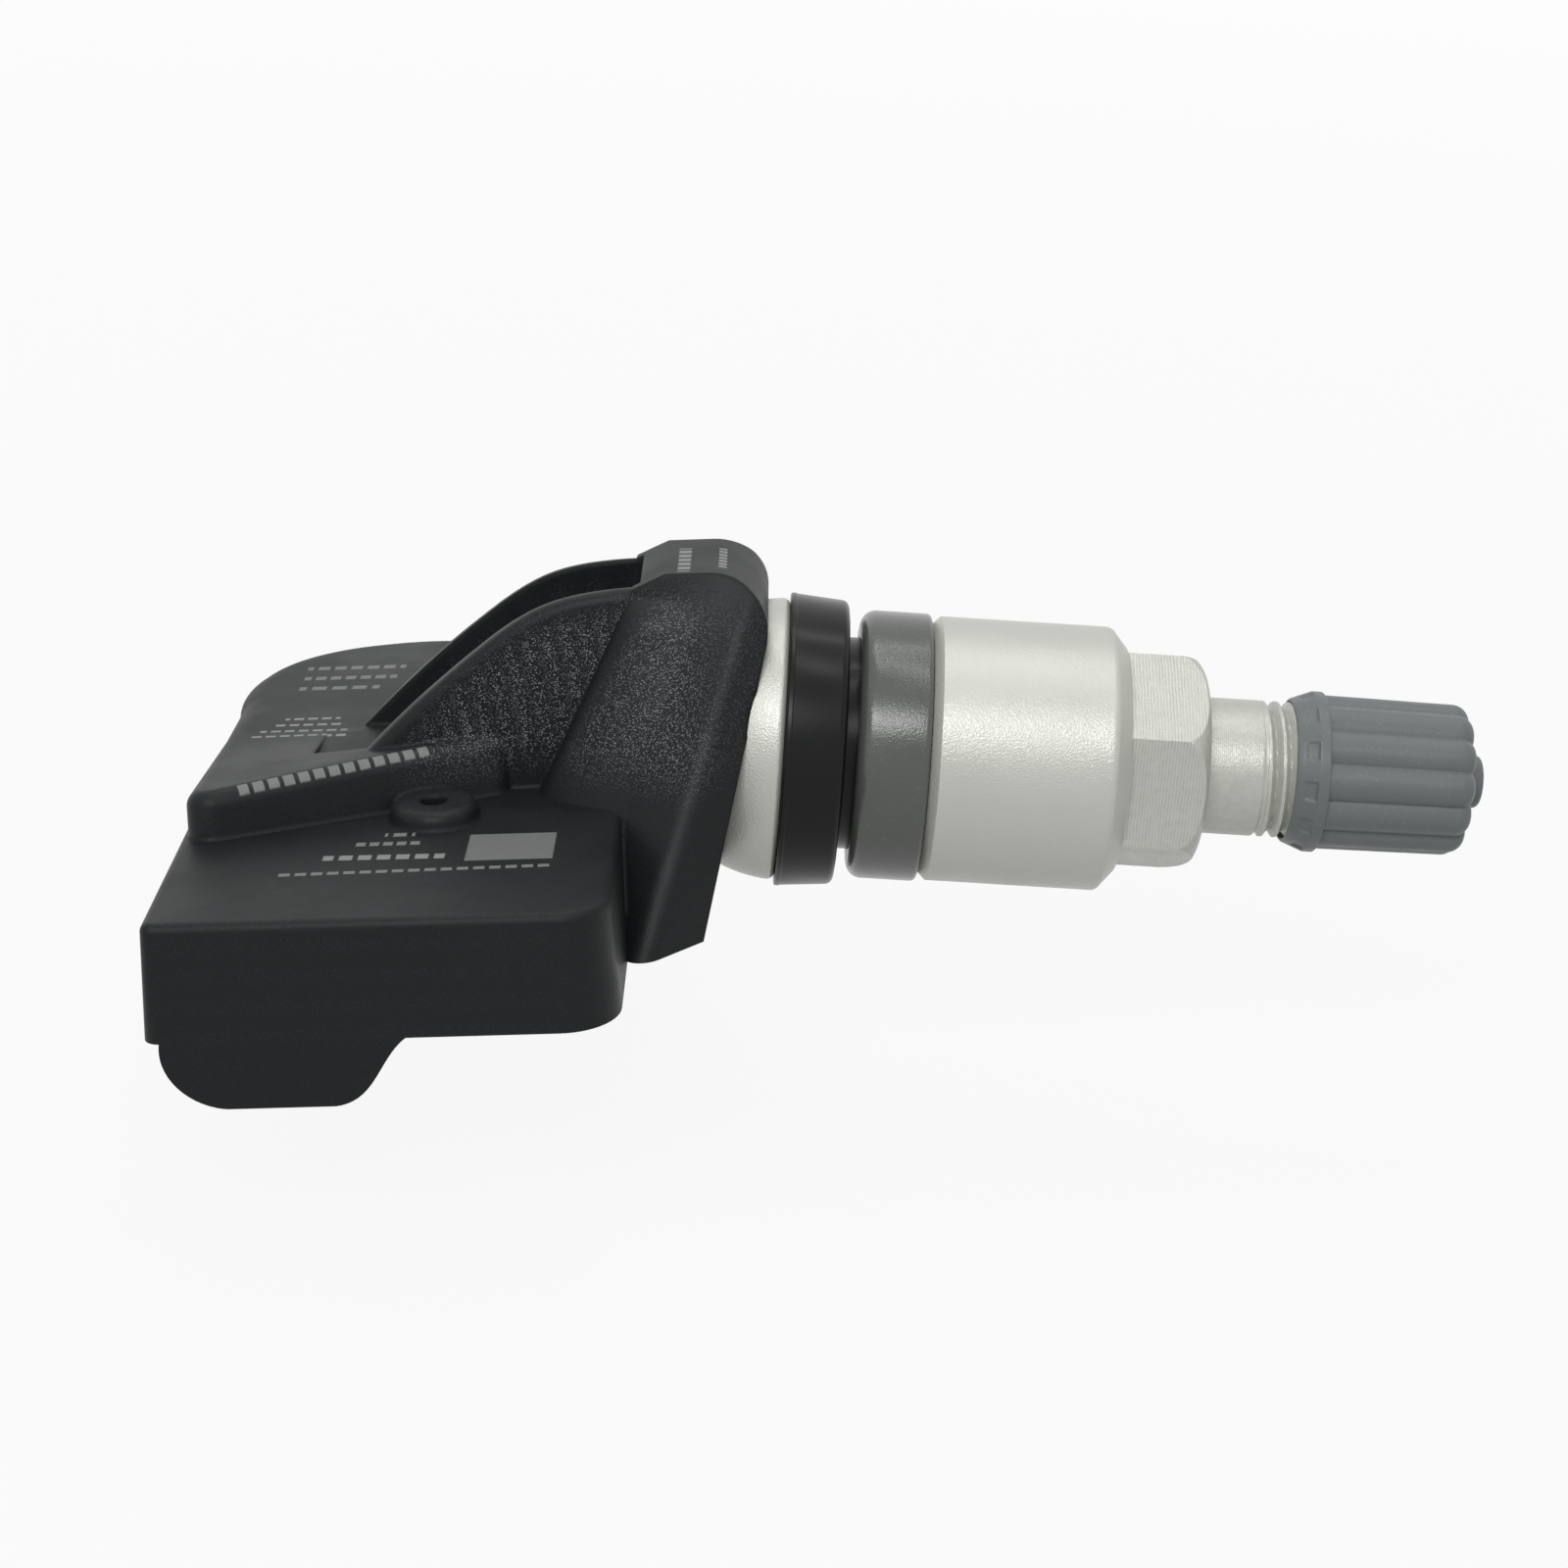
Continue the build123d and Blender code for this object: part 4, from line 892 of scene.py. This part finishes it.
def makeStem():
    # outline of dome, brim, shank, thread and bores, turned about the valve
    look = stemSet
    low = np.pi - np.arcsin(look["boltHoleR"] / look["ballR"])
    high = np.arccos((look["ballEnd"] - look["ballRound"] - look["ballX"]) / look["ballR"])
    arc = np.linspace(low, high, look["domeRows"])
    dome = np.stack([look["ballX"] + look["ballR"] * np.cos(arc), look["ballR"] * np.sin(arc)], -1)
    edge = np.linspace(np.pi / 2 + look["brimLead"], 0, look["brimRows"])
    brim = dome[-1] + look["ballRound"] * np.stack([np.cos(edge), np.sin(edge) - 1], -1)
    shank = np.array([
        (look["ballEnd"], look["shankR"]), (look["shankEnd"] - look["shankBevel"], look["shankR"]),
        (look["shankEnd"], look["stemR"]),
    ])
    # rows close together on the thread, and over the bevel that its end runs out on
    threadX = np.linspace(look["threadStart"] - look["threadLead"], look["tip"], look["threadRows"])
    bevel = look["stemR"] + look["tip"] - look["tipBevel"] - threadX
    thread = np.stack([threadX, np.minimum(look["stemR"], bevel)], -1)
    bore = np.array([
        (look["tip"], look["coreMouthR"]),
        (look["coreConeEnd"], look["coreMouthR"]), (look["coreConeStart"], look["coreBoreR"]),
        (look["coreBoreStart"], look["coreBoreR"]), (look["coreBoreStart"], look["boreR"]),
        (look["boltHoleEnd"], look["boreR"]), (look["boltHoleEnd"], look["boltHoleR"]),
    ])
    loop = np.vstack([dome, brim, shank, thread, bore])
    angle = fullTurn(look["sides"])
    x, r = loop[:, :1], loop[:, 1:]
    return gridPiece("threadedStem", turned(x, stemThread(x, r, angle), angle), True)


finishPiece(makeStem(), "valve", "valve_stem", stemMaterial, stemSet["sharpAngle"])

# core spring: round wire wound four times

springSet = {
    "start": 29.57, "height": 2.26, "coilR": 1.15, "wireR": 0.145, "turns": 4,
    "shelf": 29.4, "keep": 0.605,               # x that it is pressed towards, share of its height left
    "rows": 130, "sides": 12, "sharpAngle": 50,
}


def makeSpring():
    # circle carried along a helix, out from the axis and along the valve, pinched shut at both ends
    look = springSet
    t = np.linspace(0, 1, look["rows"])[:, None]
    around = fullTurn(look["sides"])
    wire = look["wireR"] * np.where((t > 0) & (t < 1), 1.0, 0.0)
    x = look["start"] + look["height"] * t + wire * np.sin(around)
    r = look["coilR"] + wire * np.cos(around)
    return gridPiece("coiledSpring", turned(x, r, 2 * np.pi * look["turns"] * t), False)


coiledSpring = makeSpring()
finishPiece(coiledSpring, "valve", "core_spring", materials["steel"], springSet["sharpAngle"])
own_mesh(coiledSpring)

# rim grommet: rubber flange with a thin lip on its inner side, and a neck that fills the rim's hole

grommetSet = {
    "left": -3.28, "lipR": 8.26, "lipWidth": 0.28, "lipRound": 0.12, "lipFold": 0.02, "lipSlope": 0.06,
    "bodyR": 8.22, "bodyFold": 0.03, "rightR": 7.98, "rightRound": 0.42,
    "neckR": 5.96, "neckFold": 0.15, "neckEnd": 3.2, "neckRound": 0.4, "boreR": 4.55, "boreRound": 0.1,
    "sides": 192, "sharpAngle": 35,
}


def makeGrommet():
    # rounded outline turned about the valve
    look = grommetSet
    lipEnd = look["left"] + look["lipWidth"]
    loop = roundedLoop([
        (look["left"], look["boreR"], look["boreRound"]),
        (look["left"], look["lipR"], look["lipRound"]),
        (lipEnd, look["lipR"], look["lipFold"]),
        (lipEnd + look["lipSlope"], look["bodyR"], look["bodyFold"]),
        (0, look["rightR"], look["rightRound"]),
        (0, look["neckR"], look["neckFold"]),
        (look["neckEnd"], look["neckR"], look["neckRound"]),
        (look["neckEnd"], look["boreR"], look["boreRound"]),
    ])
    angle = fullTurn(look["sides"])
    return gridPiece("rubberGrommet", turned(loop[:, :1], loop[:, 1:], angle), True)


finishPiece(makeGrommet(), "valve", "rim_grommet", materials["black_rubber"],
            grommetSet["sharpAngle"])

# spacer ring: thick washer, well rounded towards the wheel

ringSet = {
    "left": 0.72, "right": 4.66, "outerR": 7.55, "leftRound": 0.85, "rightRound": 0.3,
    "neckGapR": 6.0, "shankGapR": 4.65, "stepX": 3.45, "boreRound": 0.12, "stepRound": 0.1,
    "arcRows": 10, "sides": 192, "sharpAngle": 35,
}


def makeRing():
    # rounded outline turned about the valve
    look = ringSet
    loop = roundedLoop([
        (look["left"], look["neckGapR"], look["boreRound"]),
        (look["left"], look["outerR"], look["leftRound"]),
        (look["right"], look["outerR"], look["rightRound"]),
        (look["right"], look["shankGapR"], look["boreRound"]),
        (look["stepX"], look["shankGapR"], look["stepRound"]),
        (look["stepX"], look["neckGapR"], look["stepRound"]),
    ], look["arcRows"])
    angle = fullTurn(look["sides"])
    return gridPiece("spacerWasher", turned(loop[:, :1], loop[:, 1:], angle), True)


finishPiece(makeRing(), "ring", "spacer_ring", materials["grey_plastic"],
            ringSet["sharpAngle"])

# clamp nut: round body, cone, six flats and a domed tip

nutSet = {
    "left": 4.72, "leftBevel": 0.5, "bodyR": 7.45, "bodyEnd": 14.8, "cone": 0.88, "coneDrop": 1.08,
    # round between body and cone: x from the body's end, and how far the radius drops there
    "edgeX": (-0.3, -0.22, -0.08, 0.05, 0.14), "edgeDrop": (0, 0, 0.03, 0.1, 0.2),
    "flats": 11.0, "right": 20.28, "domeStart": 18.75, "domeR": 4.65, "domeBulge": 0.3,
    "boreR": 4.56, "boreEnd": 13.5, "stemGapR": 3.94,
    "edgeRow": 0.01, "rowStep": 0.1,            # mm from an edge to the rows beside it
    "flatRows": 6, "domeRows": 44, "sides": 360, "sharpAngle": 20,
}


def domeRadius(x):
    # circle through the dome's start, middle and end, as radius over x
    look = nutSet
    hexR = look["flats"] / 2 / cos(radians(30))
    first = np.array([look["domeStart"], hexR])
    last = np.array([look["right"], look["domeR"]])
    middle = (first + last) / 2 + look["domeBulge"]
    sides = np.array([middle - first, last - first])
    centre = first + np.linalg.solve(2 * sides, (sides ** 2).sum(1))
    radius = np.linalg.norm(first - centre)
    return centre[1] + np.sqrt(np.maximum(radius ** 2 - (x - centre[0]) ** 2, 0))


def makeNut():
    # rows of points for the round body, the flats and the bores, each turned about the valve
    look = nutSet
    angle = fullTurn(look["sides"])
    flat = look["flats"] / 2 / np.cos((angle + np.pi / 6) % (np.pi / 3) - np.pi / 6)
    coneEnd = look["bodyEnd"] + look["cone"]
    # outer radius over x: body and cone, then flats held inside the dome
    bevelEnd = look["left"] + look["leftBevel"]
    edgeX = look["bodyEnd"] + np.array(look["edgeX"])
    step = look["rowStep"]
    bodyX = np.concatenate([[look["left"], bevelEnd, bevelEnd + step], edgeX, [coneEnd]])[:, None]
    drop = np.concatenate([[look["leftBevel"], 0, 0], look["edgeDrop"], [look["coneDrop"]]])[:, None]
    bodyR = look["bodyR"] - drop
    flatX = np.linspace(coneEnd + step, look["domeStart"] - 2 * step, look["flatRows"])
    domeX = np.linspace(look["domeStart"] - step, look["right"], look["domeRows"])
    hexX = np.concatenate([[coneEnd, coneEnd + look["edgeRow"]], flatX, domeX])[:, None]
    dome = np.where(hexX > look["domeStart"], domeRadius(hexX), np.inf)
    hexR = np.minimum(flat, dome)
    innerX = np.array([look["right"], look["boreEnd"], look["boreEnd"], look["left"]])[:, None]
    innerR = np.array([look["stemGapR"], look["stemGapR"], look["boreR"], look["boreR"]])[:, None]
    rows = [turned(bodyX, bodyR, angle), turned(hexX, hexR, angle), turned(innerX, innerR, angle)]
    return gridPiece("sixFlatNut", np.concatenate(rows), True)


finishPiece(makeNut(), "nut", "clamp_nut", materials["anodised_metal"],
            nutSet["sharpAngle"])

# valve cap: collar with shallow pockets, thin ring, twelve finger ribs and an end nub

capSet = {
    "left": 25.2, "lipR": 4.08, "lipBevel": 0.08, "lipRow": 0.15,
    "beadX": 26.45, "beadR": 4.54, "beadEdge": 0.06, "ringX": 27.0, "ringR": 4.5,
    "ribCount": 12, "ribTurn": 11.0, "ribReach": 4.38, "ribR": 1.35, "ribEndR": 1.26, "ribEnd": 35.3,
    "fingerRound": 0.95, "coreEnd": 35.0, "nubR": 1.5, "nubEnd": 36.25, "nubRound": 0.35,
    "boreR": 3.9, "boreEnd": 33.0, "sealR": 3.54, "innerEnd": 33.95,
    "pocketStart": 25.65, "pocketEnd": 26.35, "pocketDepth": 0.13, "pocketWidth": 16.0,
    "grooveEase": (0.5, 2.5), "pocketRunOut": 2,    # degrees over which a pocket sinks and rises
    "pocketEaseIn": (-0.12, 0.25), "pocketEaseOut": (-0.06, 0.02),      # mm about its start and end
    "ribFirst": 0.02, "ribSecond": 0.1,             # mm from the ring to the ribs' first rows
    "collarRows": 30, "ribRows": 12, "tipRows": 12, "tipFirst": 0.08, "nubRows": 7,
    "sides": 480, "sharpAngle": 40,
}


def makeCap():
    # rows of points from the inside out: bore, collar, ribs, fingertips and nub, each turned about the valve
    look = capSet
    angle = fullTurn(look["sides"])
    step = 2 * np.pi / look["ribCount"]
    # offset from the nearest rib's middle
    off = (angle - radians(look["ribTurn"]) + step / 2) % step - step / 2
    reach = look["ribReach"] - look["ribR"]
    side = reach * np.sin(off)

    innerX = np.array([look["innerEnd"], look["innerEnd"], look["boreEnd"], look["left"]])[:, None]
    innerR = np.array([0, look["sealR"], look["boreR"], look["boreR"]])[:, None]
    inner = turned(innerX, innerR, angle)

    # collar flares to the bead; pockets start at a groove line and sink into the flare
    lipX = look["left"] + look["lipBevel"]
    collarX = np.linspace(look["left"] + look["lipRow"], look["ringX"], look["collarRows"])
    collarX = np.concatenate([[look["left"], lipX], collarX])
    flareX = [look["left"], lipX, look["beadX"], look["ringX"] - look["beadEdge"], look["ringX"]]
    flareR = [look["lipR"] - look["lipBevel"], look["lipR"], look["beadR"], look["beadR"], look["ringR"]]
    flare = np.interp(collarX, flareX, flareR)
    sinceGroove = np.degrees(off + step / 2)
    across = easeStep(sinceGroove, *look["grooveEase"]) \
        * (1 - easeStep(sinceGroove, look["pocketWidth"] - look["pocketRunOut"], look["pocketWidth"]))
    along = easeStep(collarX - look["pocketStart"], *look["pocketEaseIn"]) \
        * (1 - easeStep(collarX - look["pocketEnd"], *look["pocketEaseOut"]))
    collar = turned(collarX[:, None], flare[:, None] - look["pocketDepth"] * along[:, None] * across, angle)

    # ribs: outer side of circles set round the axis, r = c cos d + sqrt(rho^2 - (c sin d)^2)
    domeStart = look["ribEnd"] - look["fingerRound"]
    ribX = np.linspace(look["ringX"] + look["ribSecond"], domeStart, look["ribRows"])
    ribX = np.concatenate([[look["ringX"] + look["ribFirst"]], ribX])[:, None]
    rho = np.interp(ribX, [look["ringX"], domeStart], [look["ribR"], look["ribEndR"]])
    ribs = turned(ribX, reach * np.cos(off) + np.sqrt(rho ** 2 - side ** 2), angle)

    # fingertips: rho shrinks over the end's round, out to its top and back in to the core's end face
    flatR = look["ribEndR"] - look["fingerRound"]
    topTurn = np.arccos(np.clip((np.abs(side) - flatR) / look["fingerRound"], 0, 1))
    coreTurn = np.arcsin((look["coreEnd"] - domeStart) / look["fingerRound"])
    t = np.linspace(look["tipFirst"], 1, look["tipRows"])[:, None]

    def fingertip(turn, sign):
        tip = flatR + look["fingerRound"] * np.cos(turn)
        chord = np.sqrt(np.maximum(tip ** 2 - side ** 2, 0))
        tipX = domeStart + look["fingerRound"] * np.sin(turn)
        return turned(tipX, reach * np.cos(off) + sign * chord, angle)

    outward = fingertip(topTurn * t, 1)
    inward = fingertip(topTurn + (coreTurn - topTurn) * t, -1)

    nubTurn = np.linspace(0, np.pi / 2, look["nubRows"])
    nubX = look["nubEnd"] + look["nubRound"] * (np.sin(nubTurn) - 1)
    nubX = np.concatenate([[look["coreEnd"]], nubX, [look["nubEnd"]]])
    nubR = look["nubR"] + look["nubRound"] * (np.cos(nubTurn) - 1)
    nubR = np.concatenate([[look["nubR"]], nubR, [0]])
    nub = turned(nubX[:, None], nubR[:, None], angle)
    return gridPiece("flutedCap", np.concatenate([inner, collar, ribs, outward, inward, nub]), False)


finishPiece(makeCap(), "cap", "valve_cap", materials["cap_plastic"], capSet["sharpAngle"])
print("valve pieces ready")
